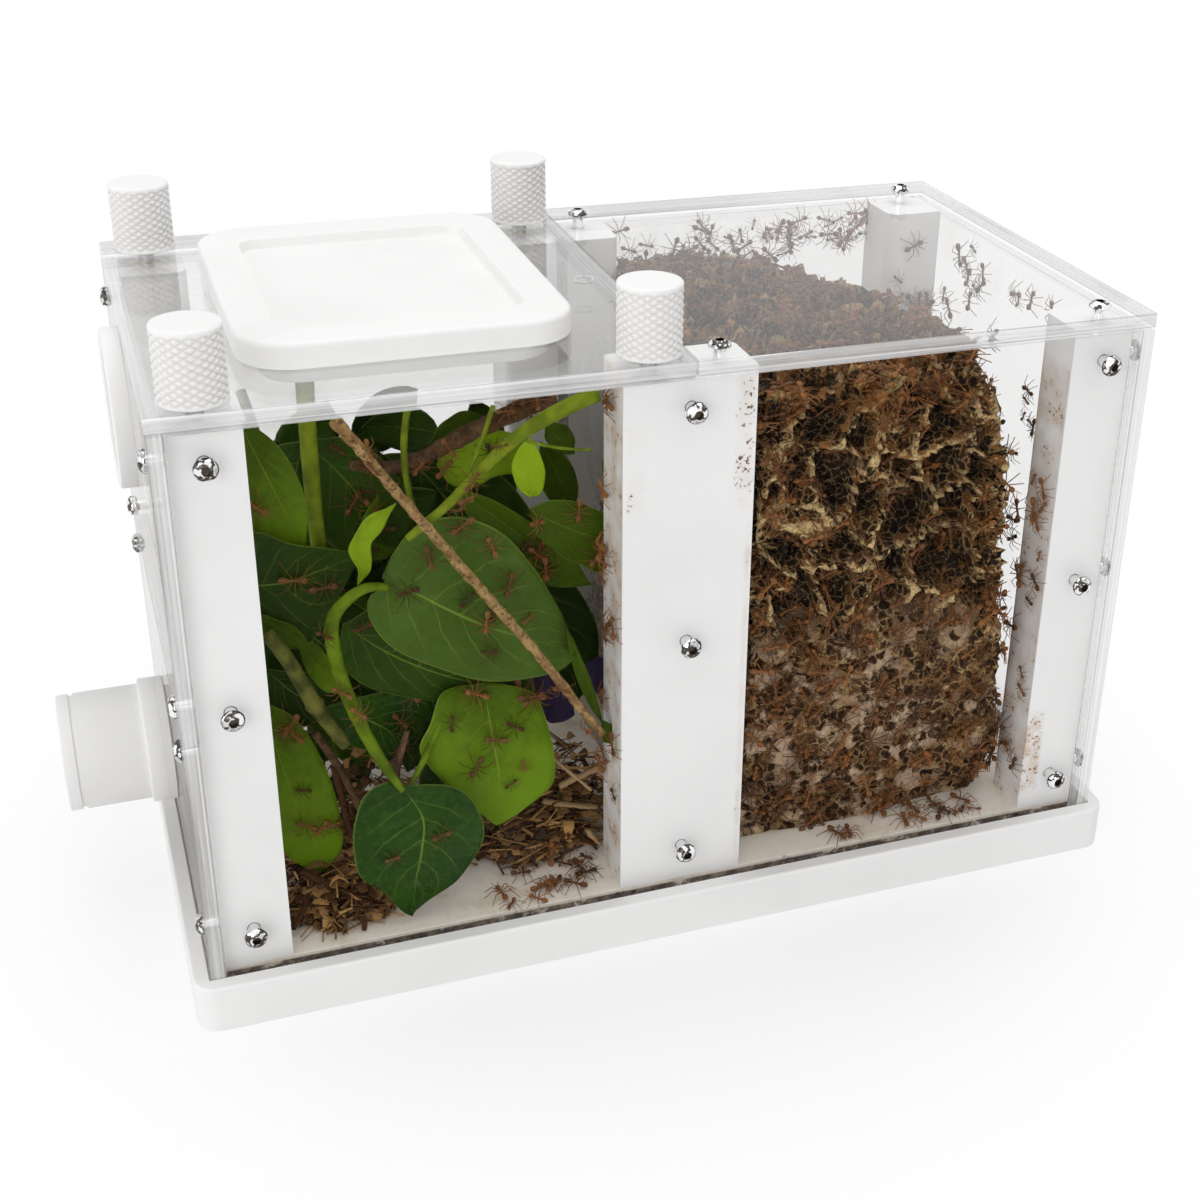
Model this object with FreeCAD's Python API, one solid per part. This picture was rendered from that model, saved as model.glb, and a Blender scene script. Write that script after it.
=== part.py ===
import FreeCAD, Part
import math
import os

# Ant habitat: a two-chamber nest box of clear acrylic sheet on a white tray.
# Left chamber (-X) holds cut leaves for foraging, right chamber (+X) the fungus.
# Frame: origin at the centre of the tray's underside, +X along the length
# away from the tube port, +Y from the front panel to the back, +Z up. In mm.

# box
LENGTH = 250.0
WIDTH = 134.0
SHEET = 4.0
HALF_L = LENGTH / 2
HALF_W = WIDTH / 2
IN_L = HALF_L - SHEET
IN_W = HALF_W - SHEET

# tray
TRAY_H = 13.0
TRAY_WALL = 4.0
TRAY_GAP = 0.3
TRAY_FLOOR = 8.5
TRAY_R = 6.0
TRAY_EDGE = 0.8

# levels
FLOOR_TOP = TRAY_FLOOR + SHEET
PANEL_TOP = 158.0
POST_TOP = 158.5
PLATE_TOP = POST_TOP + SHEET
MODULE_SPLIT = 80.5

# posts
POST = 17.0
MID_POST = 34.0
POST_CUT = 4.0
MID_CUT = 2.0

# divider
DIV_T = 3.0
GROOVE_W = 3.2
GROOVE_D = 3.1
DIV_HALF_W = IN_W - POST + 3.0
PASSAGE_R = 25.0
PASSAGE_Z = 119.0

# M3 button-head screws
M3_R = 1.5
M3_LEN = 8.0
M3_CLEAR_R = 1.7
M3_HOLE_R = 1.65
M3_HOLE_D = 5.0
HEAD_R = 2.85
HEAD_H = 1.65
HEX_AF = 2.0
HEX_D = 1.0
ROWS = [149.5, 86.0, 23.2]
COLUMNS = [-113.0, 0.0, 113.0]
END_Y = 58.5
UPPER_ROWS = [149.5, 87.0]
LOWER_ROWS = [75.0, 24.0]
NEST_SCREW_X = [8.5, 113.0]

# thumb screws
KNOB_R = 7.9
KNOB_H = 17.8
KNOB_EDGE = 0.6
KNOB_X = {"left": -113.5, "right": -9.2}
KNOB_Y = {"front": -END_Y, "back": END_Y}
STUD_R = 2.0
STUD_UP = 10.0
STUD_DOWN = 10.2
STUD_BORE_R = 2.15
STUD_PLATE_R = 2.4
INSERT_R = 2.8
INSERT_BORE_R = 2.05
INSERT_H = 6.0
INSERT_POCKET_R = 2.85
STUD_POCKET_D = 7.0

# top plates
SEAM = 0.25
LID_X = -61.7
LID_Y = 0.5
LID_L = 80.0
LID_W = 96.0
LID_H = 6.5
LID_R = 13.0
LID_EDGE = 1.0
DISH_L = 58.0
DISH_W = 70.0
DISH_R = 5.0
DISH_D = 2.3
FEED_L = 70.0
FEED_W = 86.0
FEED_R = 10.0
SKIRT_GAP = 0.3
SKIRT_WALL = 2.6
SKIRT_H = 5.0

# tube port
PORT_Z = 44.0
PORT_BORE_R = 12.5
PORT_TUBE_R = 15.5
PORT_FLANGE_R = 16.75
PORT_FLANGE_T = 2.0
PORT_COLLAR = 4.5
PORT_REACH = 27.5
PORT_GROOVE_W = 1.2
PORT_GROOVE_D = 0.6
PORT_LIP = 3.1
PORT_SPIGOT_R = 14.0
PORT_HOLE_R = 14.2

# vent
VENT_Y = 6.0
VENT_Z = 137.5
VENT_R = 20.2
VENT_T = 4.5
VENT_HOLE_R = 16.0
MESH_R = 18.0
MESH_T = 0.8
MESH_POCKET_R = 18.3
MESH_POCKET_D = 1.0


def vec(x, y, z):
    return FreeCAD.Vector(x, y, z)


AX_X = vec(1, 0, 0)
AX_Y = vec(0, 1, 0)
AX_Z = vec(0, 0, 1)


def block(x0, x1, y0, y1, z0, z1):
    return Part.makeBox(x1 - x0, y1 - y0, z1 - z0, vec(x0, y0, z0))


def rod(radius, start, end):
    line = end.sub(start)
    return Part.makeCylinder(radius, line.Length, start, line)


def upright_edges(shape, test):
    found = []
    for edge in shape.Edges:
        box = edge.BoundBox
        if box.ZLength > 1.0 and box.XLength < 0.01 and box.YLength < 0.01:
            if test(box.XMin, box.YMin):
                found.append(edge)
    return found


def rounded_block(cx, cy, length, width, z0, z1, radius):
    body = block(cx - length / 2, cx + length / 2, cy - width / 2, cy + width / 2, z0, z1)
    return body.makeFillet(radius, upright_edges(body, lambda x, y: True))


def level_edges(shape, level, reach):
    found = []
    for edge in shape.Edges:
        box = edge.BoundBox
        if abs(box.ZMin - level) < 0.01 and abs(box.ZMax - level) < 0.01:
            if reach(box):
                found.append(edge)
    return found


def screw(head_face, outward):
    # button head with a hex socket; head_face lies on the sheet's outer face
    shaft = rod(M3_R, head_face, head_face.sub(outward * M3_LEN))
    head = Part.makeCylinder(HEAD_R, HEAD_H, head_face, outward)
    head = head.makeFillet(1.1, crown_edges(head, head_face, outward))
    socket = hexagon(head_face.add(outward * (HEAD_H - HEX_D)), outward)
    return head.fuse(shaft).removeSplitter().cut(socket)


def crown_edges(head, head_face, outward):
    crown = head_face.add(outward * HEAD_H)
    found = []
    for edge in head.Edges:
        centre = edge.BoundBox.Center
        round_edge = edge.Closed and edge.Length > HEAD_R
        if round_edge and centre.sub(crown).Length < 0.05:
            found.append(edge)
    return found


def hexagon(centre, axis):
    radius = HEX_AF / math.sqrt(3)
    points = []
    for step in range(7):
        turn = math.radians(60 * step)
        points.append(vec(radius * math.cos(turn), radius * math.sin(turn), 0))
    prism = Part.Face(Part.makePolygon(points)).extrude(vec(0, 0, HEX_D + 1.0))
    prism.Placement = FreeCAD.Placement(centre, FreeCAD.Rotation(AX_Z, axis))
    return prism


def group(shapes):
    return Part.makeCompound(shapes)


def base_tray():
    half_x = HALF_L + TRAY_GAP + TRAY_WALL
    half_y = HALF_W + TRAY_GAP + TRAY_WALL
    body = rounded_block(0, 0, 2 * half_x, 2 * half_y, 0, TRAY_H, TRAY_R)
    body = body.makeFillet(TRAY_EDGE, level_edges(body, TRAY_H, lambda box: True))
    recess = block(-HALF_L - TRAY_GAP, HALF_L + TRAY_GAP, -HALF_W - TRAY_GAP,
                   HALF_W + TRAY_GAP, TRAY_FLOOR, TRAY_H + 1)
    return body.cut(recess)


def floor_plate():
    return block(-IN_L, IN_L, -IN_W, IN_W, TRAY_FLOOR, FLOOR_TOP)


def long_panel(side):
    # side is -1 for the front and +1 for the back
    y0 = min(side * IN_W, side * HALF_W)
    panel = block(-IN_L, IN_L, y0, y0 + SHEET, TRAY_FLOOR, PANEL_TOP)
    for x in COLUMNS:
        for z in ROWS:
            panel = panel.cut(rod(M3_CLEAR_R, vec(x, y0 - 1, z), vec(x, y0 + SHEET + 1, z)))
    return panel


def end_sheet(side, z0, z1, rows):
    x0 = min(side * IN_L, side * HALF_L)
    sheet = block(x0, x0 + SHEET, -HALF_W, HALF_W, z0, z1)
    for y in [-END_Y, END_Y]:
        for z in rows:
            sheet = sheet.cut(rod(M3_CLEAR_R, vec(x0 - 1, y, z), vec(x0 + SHEET + 1, y, z)))
    return sheet


def vent_end_panel():
    sheet = end_sheet(-1, MODULE_SPLIT, PANEL_TOP, UPPER_ROWS)
    hole = rod(VENT_HOLE_R, vec(-HALF_L - 1, VENT_Y, VENT_Z), vec(-IN_L + 1, VENT_Y, VENT_Z))
    return sheet.cut(hole)


def port_end_panel():
    sheet = end_sheet(-1, TRAY_FLOOR, MODULE_SPLIT, LOWER_ROWS)
    hole = rod(PORT_HOLE_R, vec(-HALF_L - 1, 0, PORT_Z), vec(-IN_L + 1, 0, PORT_Z))
    return sheet.cut(hole)


def divider_panel():
    sheet = block(-DIV_T / 2, DIV_T / 2, -DIV_HALF_W, DIV_HALF_W, FLOOR_TOP, PANEL_TOP)
    passage = rod(PASSAGE_R, vec(-DIV_T, 0, PASSAGE_Z), vec(DIV_T, 0, PASSAGE_Z))
    return sheet.cut(passage)


def panel_screw_holes(body, x, side):
    for z in ROWS:
        start = vec(x, side * (IN_W + 1), z)
        end = vec(x, side * (IN_W - M3_HOLE_D), z)
        body = body.cut(rod(M3_HOLE_R, start, end))
    return body


def end_screw_holes(body, end, side, rows):
    for z in rows:
        start = vec(end * (IN_L + 1), side * END_Y, z)
        stop = vec(end * (IN_L - M3_HOLE_D), side * END_Y, z)
        body = body.cut(rod(M3_HOLE_R, start, stop))
    return body


def top_screw_hole(body, x, side):
    start = vec(x, side * END_Y, POST_TOP + 1)
    end = vec(x, side * END_Y, POST_TOP - M3_HOLE_D)
    return body.cut(rod(M3_HOLE_R, start, end))


def insert_pocket(body, x, side):
    mouth = vec(x, side * END_Y, POST_TOP + 1)
    wide = rod(INSERT_POCKET_R, mouth, vec(x, side * END_Y, POST_TOP - INSERT_H))
    deep = rod(STUD_BORE_R, mouth, vec(x, side * END_Y, POST_TOP - STUD_POCKET_D))
    return body.cut(wide).cut(deep)


def corner_post(end, side):
    x0 = min(end * IN_L, end * (IN_L - POST))
    y0 = min(side * IN_W, side * (IN_W - POST))
    body = block(x0, x0 + POST, y0, y0 + POST, FLOOR_TOP, POST_TOP)
    inner_x = end * (IN_L - POST)
    inner_y = side * (IN_W - POST)
    corner = upright_edges(body, lambda x, y: abs(x - inner_x) < 0.1 and abs(y - inner_y) < 0.1)
    body = body.makeFillet(POST_CUT, corner)
    body = panel_screw_holes(body, end * COLUMNS[2], side)
    if end > 0:
        body = end_screw_holes(body, end, side, ROWS)
        return top_screw_hole(body, NEST_SCREW_X[1], side)
    body = end_screw_holes(body, end, side, UPPER_ROWS + LOWER_ROWS)
    return insert_pocket(body, KNOB_X["left"], side)


def middle_post(side):
    y0 = min(side * IN_W, side * (IN_W - POST))
    body = block(-MID_POST / 2, MID_POST / 2, y0, y0 + POST, FLOOR_TOP, POST_TOP)
    inner_y = side * (IN_W - POST)
    corners = upright_edges(body, lambda x, y: abs(y - inner_y) < 0.1)
    body = body.makeFillet(MID_CUT, corners)
    g0 = min(side * (IN_W - POST + GROOVE_D), side * (IN_W - POST - 1))
    groove = block(-GROOVE_W / 2, GROOVE_W / 2, g0, g0 + GROOVE_D + 1, FLOOR_TOP, POST_TOP)
    body = body.cut(groove)
    body = panel_screw_holes(body, 0, side)
    body = top_screw_hole(body, NEST_SCREW_X[0], side)
    return insert_pocket(body, KNOB_X["right"], side)


def forage_top_plate():
    plate = block(-HALF_L, -SEAM, -HALF_W, HALF_W, POST_TOP, PLATE_TOP)
    mouth = rounded_block(LID_X, LID_Y, FEED_L, FEED_W, POST_TOP - 1, PLATE_TOP + 1, FEED_R)
    plate = plate.cut(mouth)
    for x in KNOB_X.values():
        for y in KNOB_Y.values():
            plate = plate.cut(rod(STUD_PLATE_R, vec(x, y, POST_TOP - 1), vec(x, y, PLATE_TOP + 1)))
    return plate


def nest_top_plate():
    plate = block(SEAM, HALF_L, -HALF_W, HALF_W, POST_TOP, PLATE_TOP)
    for x in NEST_SCREW_X:
        for y in KNOB_Y.values():
            plate = plate.cut(rod(M3_CLEAR_R, vec(x, y, POST_TOP - 1), vec(x, y, PLATE_TOP + 1)))
    return plate


def feeding_lid():
    cap = rounded_block(LID_X, LID_Y, LID_L, LID_W, PLATE_TOP, PLATE_TOP + LID_H, LID_R)
    cap = cap.makeFillet(LID_EDGE, level_edges(cap, PLATE_TOP + LID_H, lambda box: True))
    dish_floor = PLATE_TOP + LID_H - DISH_D
    dish = rounded_block(LID_X, LID_Y, DISH_L, DISH_W, dish_floor, dish_floor + 5, DISH_R)
    cap = cap.cut(dish)
    skirt_l = FEED_L - 2 * SKIRT_GAP
    skirt_w = FEED_W - 2 * SKIRT_GAP
    outer = rounded_block(LID_X, LID_Y, skirt_l, skirt_w, PLATE_TOP - SKIRT_H,
                          PLATE_TOP, FEED_R - SKIRT_GAP)
    inner = rounded_block(LID_X, LID_Y, skirt_l - 2 * SKIRT_WALL, skirt_w - 2 * SKIRT_WALL,
                          PLATE_TOP - SKIRT_H - 1, PLATE_TOP, FEED_R - SKIRT_GAP - SKIRT_WALL)
    return cap.fuse(outer.cut(inner)).removeSplitter()


def thumb_knob(x, y):
    # the diamond knurl is 0.3 deep: nine starts each way, 21.6 lead
    knob = Part.makeCylinder(KNOB_R, KNOB_H, vec(x, y, PLATE_TOP), AX_Z)
    knob = knob.makeFillet(KNOB_EDGE, level_edges(knob, PLATE_TOP + KNOB_H, lambda box: True))
    return knob.cut(rod(STUD_BORE_R, vec(x, y, PLATE_TOP - 1), vec(x, y, PLATE_TOP + STUD_UP)))


def thumb_stud(x, y):
    stud = rod(STUD_R, vec(x, y, PLATE_TOP - STUD_DOWN), vec(x, y, PLATE_TOP + STUD_UP))
    return stud.makeChamfer(0.5, level_edges(stud, PLATE_TOP - STUD_DOWN, lambda box: True))


def thumb_inserts():
    solids = []
    for x in KNOB_X.values():
        for y in KNOB_Y.values():
            low = vec(x, y, POST_TOP - INSERT_H)
            high = vec(x, y, POST_TOP)
            solids.append(rod(INSERT_R, low, high).cut(rod(INSERT_BORE_R, low, high)))
    return group(solids)


def long_side_screws(side):
    out = vec(0, side, 0)
    solids = []
    for x in COLUMNS:
        for z in ROWS:
            solids.append(screw(vec(x, side * HALF_W, z), out))
    return group(solids)


def end_screws(end, rows):
    out = vec(end, 0, 0)
    solids = []
    for y in [-END_Y, END_Y]:
        for z in rows:
            solids.append(screw(vec(end * HALF_L, y, z), out))
    return group(solids)


def nest_top_screws():
    solids = []
    for x in NEST_SCREW_X:
        for y in [-END_Y, END_Y]:
            solids.append(screw(vec(x, y, PLATE_TOP), AX_Z))
    return group(solids)


def port_rod(radius, x0, x1):
    return rod(radius, vec(x0, 0, PORT_Z), vec(x1, 0, PORT_Z))


def tube_port():
    tip = -HALF_L - PORT_REACH
    body = port_rod(PORT_FLANGE_R, -HALF_L, -HALF_L - PORT_FLANGE_T - PORT_COLLAR)
    body = body.fuse(port_rod(PORT_TUBE_R, -HALF_L, tip))
    body = body.fuse(port_rod(PORT_SPIGOT_R, -HALF_L, -IN_L)).removeSplitter()
    groove = port_rod(PORT_TUBE_R + 1, tip + PORT_LIP, tip + PORT_LIP + PORT_GROOVE_W)
    groove = groove.cut(port_rod(PORT_TUBE_R - PORT_GROOVE_D, tip, -HALF_L))
    body = body.cut(groove)
    return body.cut(port_rod(PORT_BORE_R, tip - 1, -IN_L + 1))


def vent_rod(radius, x0, x1):
    return rod(radius, vec(x0, VENT_Y, VENT_Z), vec(x1, VENT_Y, VENT_Z))


def vent_ring():
    face = -HALF_L - VENT_T
    body = vent_rod(VENT_R, -HALF_L, face)
    body = body.cut(vent_rod(VENT_HOLE_R, -HALF_L + 1, face - 1))
    return body.cut(vent_rod(MESH_POCKET_R, -HALF_L + 1, -HALF_L - MESH_POCKET_D))


def vent_mesh():
    return vent_rod(MESH_R, -HALF_L, -HALF_L - MESH_T)


def fungus_garden():
    # a lumpy mass from the floor nearly to the top, leaning against the divider
    # below the posts' line it reaches behind the middle posts to the divider
    levels = [
        (FLOOR_TOP, 6, [(60, -53), (88, -46), (98, -34), (98, 10), (86, 40), (60, 60)]),
        (60.0, 6, [(70, -61), (97, -60), (102, -40), (100, 14), (88, 42), (62, 61)]),
        (125.0, 14, [(70, -61), (92, -59), (99, -40), (94, 10), (84, 34), (60, 61)]),
        (150.0, 14, [(60, -59), (80, -56), (90, -38), (86, 2), (76, 26), (54, 57)]),
    ]
    wires = []
    for level, inner, corners in levels:
        front = -52 if level == FLOOR_TOP else -59
        outline = [(19, front)] + corners + [(19, 59), (19, 47), (inner, 43), (inner, -43), (19, -47)]
        points = [vec(x, y, level) for x, y in outline]
        wires.append(Part.makePolygon(points + points[:1]))
    return Part.makeLoft(wires, True, True)


def blade(y, upper, lower):
    # a flat leaf in an XZ plane at y, its outline down each side from stalk to tip
    sides = []
    for side in [upper, lower]:
        curve = Part.BSplineCurve()
        curve.interpolate([vec(x, y, z) for x, z in side])
        sides.append(curve.toShape())
    face = Part.Face(Part.Wire([sides[0], sides[1]]))
    return face.extrude(vec(0, LEAF_T, 0))


LEAF_T = 0.8

# name: front y, one side and the other as (x, z) from stalk to tip
LEAVES = {
    "leaf_heart": (-61,
        [(-73.2, 54.3), (-77.7, 56.5), (-83.1, 54.5), (-85.8, 47.6), (-86.8, 39), (-85.5, 31),
          (-79.5, 23.7), (-75.5, 17.4), (-72.7, 14.7)],
        [(-73.2, 54.3), (-68.4, 54.5), (-61.6, 52.7), (-56.4, 48.2), (-53.5, 40.6), (-54.4, 33),
          (-59.9, 25), (-67.2, 20.1), (-72.7, 14.7)]),
    "leaf_oval_front": (-51.4,
        [(-73.1, 107.5), (-70, 113.8), (-63.8, 120.4), (-54.1, 121.9), (-44.5, 117),
          (-36.3, 106.4), (-30, 94.3), (-27, 87.2), (-25.9, 81.2)],
        [(-73.1, 107.5), (-77.5, 105.4), (-77.7, 99.7), (-72.9, 92), (-62.8, 84.9), (-49.8, 78.8),
          (-37.3, 76.8), (-29.6, 77.9), (-25.9, 81.2)]),
    "leaf_oval_behind": (-45.4,
        [(-82.8, 94.6), (-72.8, 98.7), (-58.5, 92.9), (-44.9, 82.2), (-34.2, 67.3)],
        [(-82.8, 94.6), (-84, 84.2), (-77.7, 76.5), (-64.8, 70.6), (-50.8, 68.2), (-40.9, 67.3),
          (-34.2, 67.3)]),
    "leaf_lower_dark": (-42.4,
        [(-88, 70), (-75.8, 72.6), (-63, 71.5), (-61.1, 64.9), (-64.7, 58), (-69.4, 51.9)],
        [(-88, 70), (-86.7, 63.5), (-80.9, 57.4), (-74.1, 54.2), (-69.4, 51.9)]),
    "leaf_lower_middle": (-50.4,
        [(-48.8, 73.2), (-59.9, 73.6), (-63.9, 66.4), (-67.1, 59.5), (-61.4, 48.9), (-54.1, 39),
          (-47.3, 30.6)],
        [(-48.8, 73.2), (-37.2, 70.3), (-33.9, 63.2), (-31.9, 50), (-32.8, 41.7), (-40.7, 34.8),
          (-47.3, 30.6)]),
    "leaf_lower_left": (-43.4,
        [(-103.3, 74), (-107.6, 63.3), (-107.8, 45.8), (-103.1, 32.6), (-97.8, 24.8),
          (-92.1, 21.5)],
        [(-103.3, 74), (-96.5, 69.5), (-90.9, 57.5), (-87.6, 42.8), (-87.2, 29.7), (-92.1, 21.5)]),
    "leaf_pointed": (-42.4,
        [(-108.8, 107.5), (-106.6, 118.3), (-101.7, 121.4), (-93.2, 117.4), (-84.5, 114.5),
          (-76.4, 112.3)],
        [(-108.8, 107.5), (-108, 99.5), (-99.9, 95.8), (-91.8, 89.8), (-85.9, 96.4),
          (-81.1, 105.2), (-76.4, 112.3)]),
    "leaf_upper_left": (-38.4,
        [(-102.7, 148.6), (-108.3, 138.3), (-106.9, 123), (-98.9, 113), (-90, 112.8)],
        [(-102.7, 148.6), (-95.5, 143), (-90.6, 133.9), (-88.5, 122.7), (-90, 112.8)]),
    "leaf_right_upper": (-41.9,
        [(-34.3, 117.2), (-28.5, 119.7), (-19.3, 117), (-11, 111.1), (-8.7, 103.7)],
        [(-34.3, 117.2), (-31.9, 109.4), (-23.8, 102.3), (-14.3, 97.3), (-8.7, 103.7)]),
    "leaf_right_long": (-37.9,
        [(-52.2, 124), (-42, 119.4), (-32.4, 111.8), (-22.6, 101.5), (-17, 91.9)],
        [(-52.2, 124), (-48.5, 114.6), (-39.1, 103.9), (-29.4, 94), (-17, 91.9)]),
    "leaf_top": (-25.2,
        [(-29.2, 128.7), (-38.3, 133.3), (-46.9, 132.4), (-51.8, 129.6), (-53.8, 125.3)],
        [(-29.2, 128.7), (-31.5, 121.3), (-39.8, 120.3), (-45.3, 118.3), (-50.6, 119.7),
          (-53.8, 125.3)]),
    "leaf_top_small": (-36.4,
        [(-32.1, 134.5), (-35.9, 131.6), (-37.3, 126.7), (-35.6, 121.1), (-32.4, 118.4)],
        [(-32.1, 134.5), (-29.8, 129.7), (-28.8, 123.3), (-30.2, 119.3), (-32.4, 118.4)]),
    "leaf_back_left": (-21.9,
        [(-85.8, 134.1), (-73.5, 133.7), (-62.7, 121), (-61.1, 110.3), (-63.6, 102.3)],
        [(-85.8, 134.1), (-88.7, 122.1), (-83.4, 108.8), (-73.4, 100.2), (-63.6, 102.3)]),
    "leaf_back_middle": (-16.4,
        [(-59.2, 125.2), (-39.7, 120.4), (-26.6, 103), (-28, 87), (-38.7, 76)],
        [(-59.2, 125.2), (-64.3, 108.3), (-60.9, 89.6), (-50.2, 77.8), (-38.7, 76)]),
    "leaf_back_right": (-10.4,
        [(-45.9, 91.9), (-22.8, 88.4), (-8.6, 68), (-7.4, 48.9), (-14.9, 37.7)],
        [(-45.9, 91.9), (-48.9, 74.6), (-40.2, 54.7), (-27.3, 40.1), (-14.9, 37.7)]),
    "leaf_back_low": (-27.9,
        [(-98, 93.9), (-83.3, 95.1), (-68.1, 81.8), (-64.5, 66.1), (-69.4, 56.8)],
        [(-98, 93.9), (-101.4, 77.6), (-94.1, 62.7), (-80.6, 53.8), (-69.4, 56.8)]),
    "flower_petal": (-44,
        [(-35.4, 72.3), (-29.3, 71.5), (-24.2, 63), (-23.9, 57.8)],
        [(-35.4, 72.3), (-34.4, 64.8), (-30, 55.7), (-23.9, 57.8)]),
}


def bent_stem(points, radius):
    # round segments joined by balls at the bends
    body = None
    for start, end in zip(points[:-1], points[1:]):
        piece = rod(radius, vec(*start), vec(*end))
        body = piece if body is None else body.fuse(piece)
    for bend in points[1:-1]:
        body = body.fuse(Part.makeSphere(radius, vec(*bend)))
    return body


STEMS = {
    "stem_upper": (1.4, [(-21, -55.5, 152.6), (-41, -55.5, 144), (-58.5, -55.5, 128), (-68, -55.5, 121)]),
    "stem_lower": (1.4, [(-74, -56, 110.4), (-80.5, -56, 109.4), (-87, -56, 101.5), (-83.4, -56.3, 78.7),
                         (-75.3, -57.5, 56.5), (-72.6, -58.2, 52)]),
    "stem_upright": (1.9, [(-86, -33, 156), (-86.6, -33, 128), (-85.5, -33, 104)]),
    "stem_jointed": (2.0, [(-101.5, -49, 97.5), (-98, -48.8, 91.5), (-91.4, -48.4, 75), (-85, -48, 62.2)]),
    "twig": (1.5, [(-83.5, -59.6, 154.5), (-51.1, -59.6, 106.1), (-21.1, -59.6, 60.1)]),
    "branch": (2.2, [(-76, -29, 130), (-62, -29, 128), (-51, -29, 133), (-24, -29, 142.5)]),
}


def litter(corners, height):
    # a low mound of leaf scraps and straw: broad foot, narrower top
    cx = sum(x for x, y in corners) / len(corners)
    cy = sum(y for x, y in corners) / len(corners)
    foot = [vec(x, y, FLOOR_TOP) for x, y in corners]
    top = [vec(cx + 0.55 * (x - cx), cy + 0.55 * (y - cy), FLOOR_TOP + height) for x, y in corners]
    wires = [Part.makePolygon(foot + foot[:1]), Part.makePolygon(top + top[:1])]
    return Part.makeLoft(wires, True, True)


LITTER_LEFT = [(-103, -58), (-80, -57), (-74, -46), (-80, -34), (-103, -33)]
LITTER_RIGHT = [(-50, -44), (-32, -46), (-18.5, -44), (-18.5, -22), (-40, -20)]


def export(name, shape):
    shape.exportStep("parts/" + name + ".step")
    solids = len(shape.Solids)
    box = shape.BoundBox
    print(name, "solids", solids, "valid", shape.isValid(),
          "box", round(box.XMin, 2), round(box.XMax, 2), round(box.YMin, 2),
          round(box.YMax, 2), round(box.ZMin, 2), round(box.ZMax, 2))


def main():
    os.makedirs("parts", exist_ok=True)
    export("base_tray", base_tray())
    export("floor_plate", floor_plate())
    export("front_panel", long_panel(-1))
    export("back_panel", long_panel(1))
    export("right_end_panel", end_sheet(1, TRAY_FLOOR, PANEL_TOP, ROWS))
    export("vent_end_panel", vent_end_panel())
    export("port_end_panel", port_end_panel())
    export("divider_panel", divider_panel())
    for side_name, side in [("front", -1), ("back", 1)]:
        export("post_" + side_name + "_left", corner_post(-1, side))
        export("post_" + side_name + "_middle", middle_post(side))
        export("post_" + side_name + "_right", corner_post(1, side))
        export(side_name + "_screws", long_side_screws(side))
        for end_name, x in KNOB_X.items():
            tail = side_name + "_" + end_name
            export("thumb_knob_" + tail, thumb_knob(x, KNOB_Y[side_name]))
            export("thumb_stud_" + tail, thumb_stud(x, KNOB_Y[side_name]))
    export("thumb_inserts", thumb_inserts())
    export("left_end_screws", end_screws(-1, UPPER_ROWS + LOWER_ROWS))
    export("right_end_screws", end_screws(1, ROWS))
    export("nest_top_screws", nest_top_screws())
    export("forage_top_plate", forage_top_plate())
    export("nest_top_plate", nest_top_plate())
    export("feeding_lid", feeding_lid())
    export("tube_port", tube_port())
    export("vent_ring", vent_ring())
    export("vent_mesh", vent_mesh())
    export("fungus_garden", fungus_garden())
    for name, (y, upper, lower) in LEAVES.items():
        export(name, blade(y, upper, lower))
    for name, (radius, points) in STEMS.items():
        export(name, bent_stem(points, radius))
    export("litter_left", litter(LITTER_LEFT, 8.0))
    export("litter_right", litter(LITTER_RIGHT, 28.0))


main()
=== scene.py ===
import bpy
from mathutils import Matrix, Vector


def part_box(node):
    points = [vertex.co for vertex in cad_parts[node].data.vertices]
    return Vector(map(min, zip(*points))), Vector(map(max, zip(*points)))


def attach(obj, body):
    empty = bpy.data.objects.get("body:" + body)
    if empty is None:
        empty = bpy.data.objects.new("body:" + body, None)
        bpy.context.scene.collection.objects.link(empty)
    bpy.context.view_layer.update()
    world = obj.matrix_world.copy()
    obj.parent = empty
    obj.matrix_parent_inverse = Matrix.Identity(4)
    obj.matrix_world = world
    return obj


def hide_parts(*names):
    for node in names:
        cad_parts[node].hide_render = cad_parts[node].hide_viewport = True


bl_info = {
    "name": "Ant Habitat",
    "version": (1, 0, 0),
    "blender": (4, 5, 0),
    "location": "View3D > Sidebar > Ant Habitat",
    "description": "Dresses the habitat: clear sheets, knurled knobs, leaves, comb and ants",
    "category": "Object",
}

import math
import random

import bmesh
import bpy
from mathutils import Matrix, Vector, noise

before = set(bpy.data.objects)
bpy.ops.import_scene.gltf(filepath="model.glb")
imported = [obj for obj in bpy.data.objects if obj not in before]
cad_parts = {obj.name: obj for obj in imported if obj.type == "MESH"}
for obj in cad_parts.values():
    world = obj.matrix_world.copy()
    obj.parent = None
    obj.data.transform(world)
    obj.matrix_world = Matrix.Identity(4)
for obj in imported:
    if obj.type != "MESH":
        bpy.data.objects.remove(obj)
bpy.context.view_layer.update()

MM = 0.001
MERGE = 1e-6  # points closer than this are one
TOUCH = 1e-5  # a point this close to a face of a box lies on it
SHEET_MM = 4.0  # thickness of the clear sheets
ROOT = "habitat"
COVER = "forage_cover"
KNOB_PLACES = ("front_left", "front_right", "back_left", "back_right")
CHAMBER_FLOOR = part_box("floor_plate")[1].z
PLATE_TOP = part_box("forage_top_plate")[1].z


# ---------------------------------------------------------------- materials


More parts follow.
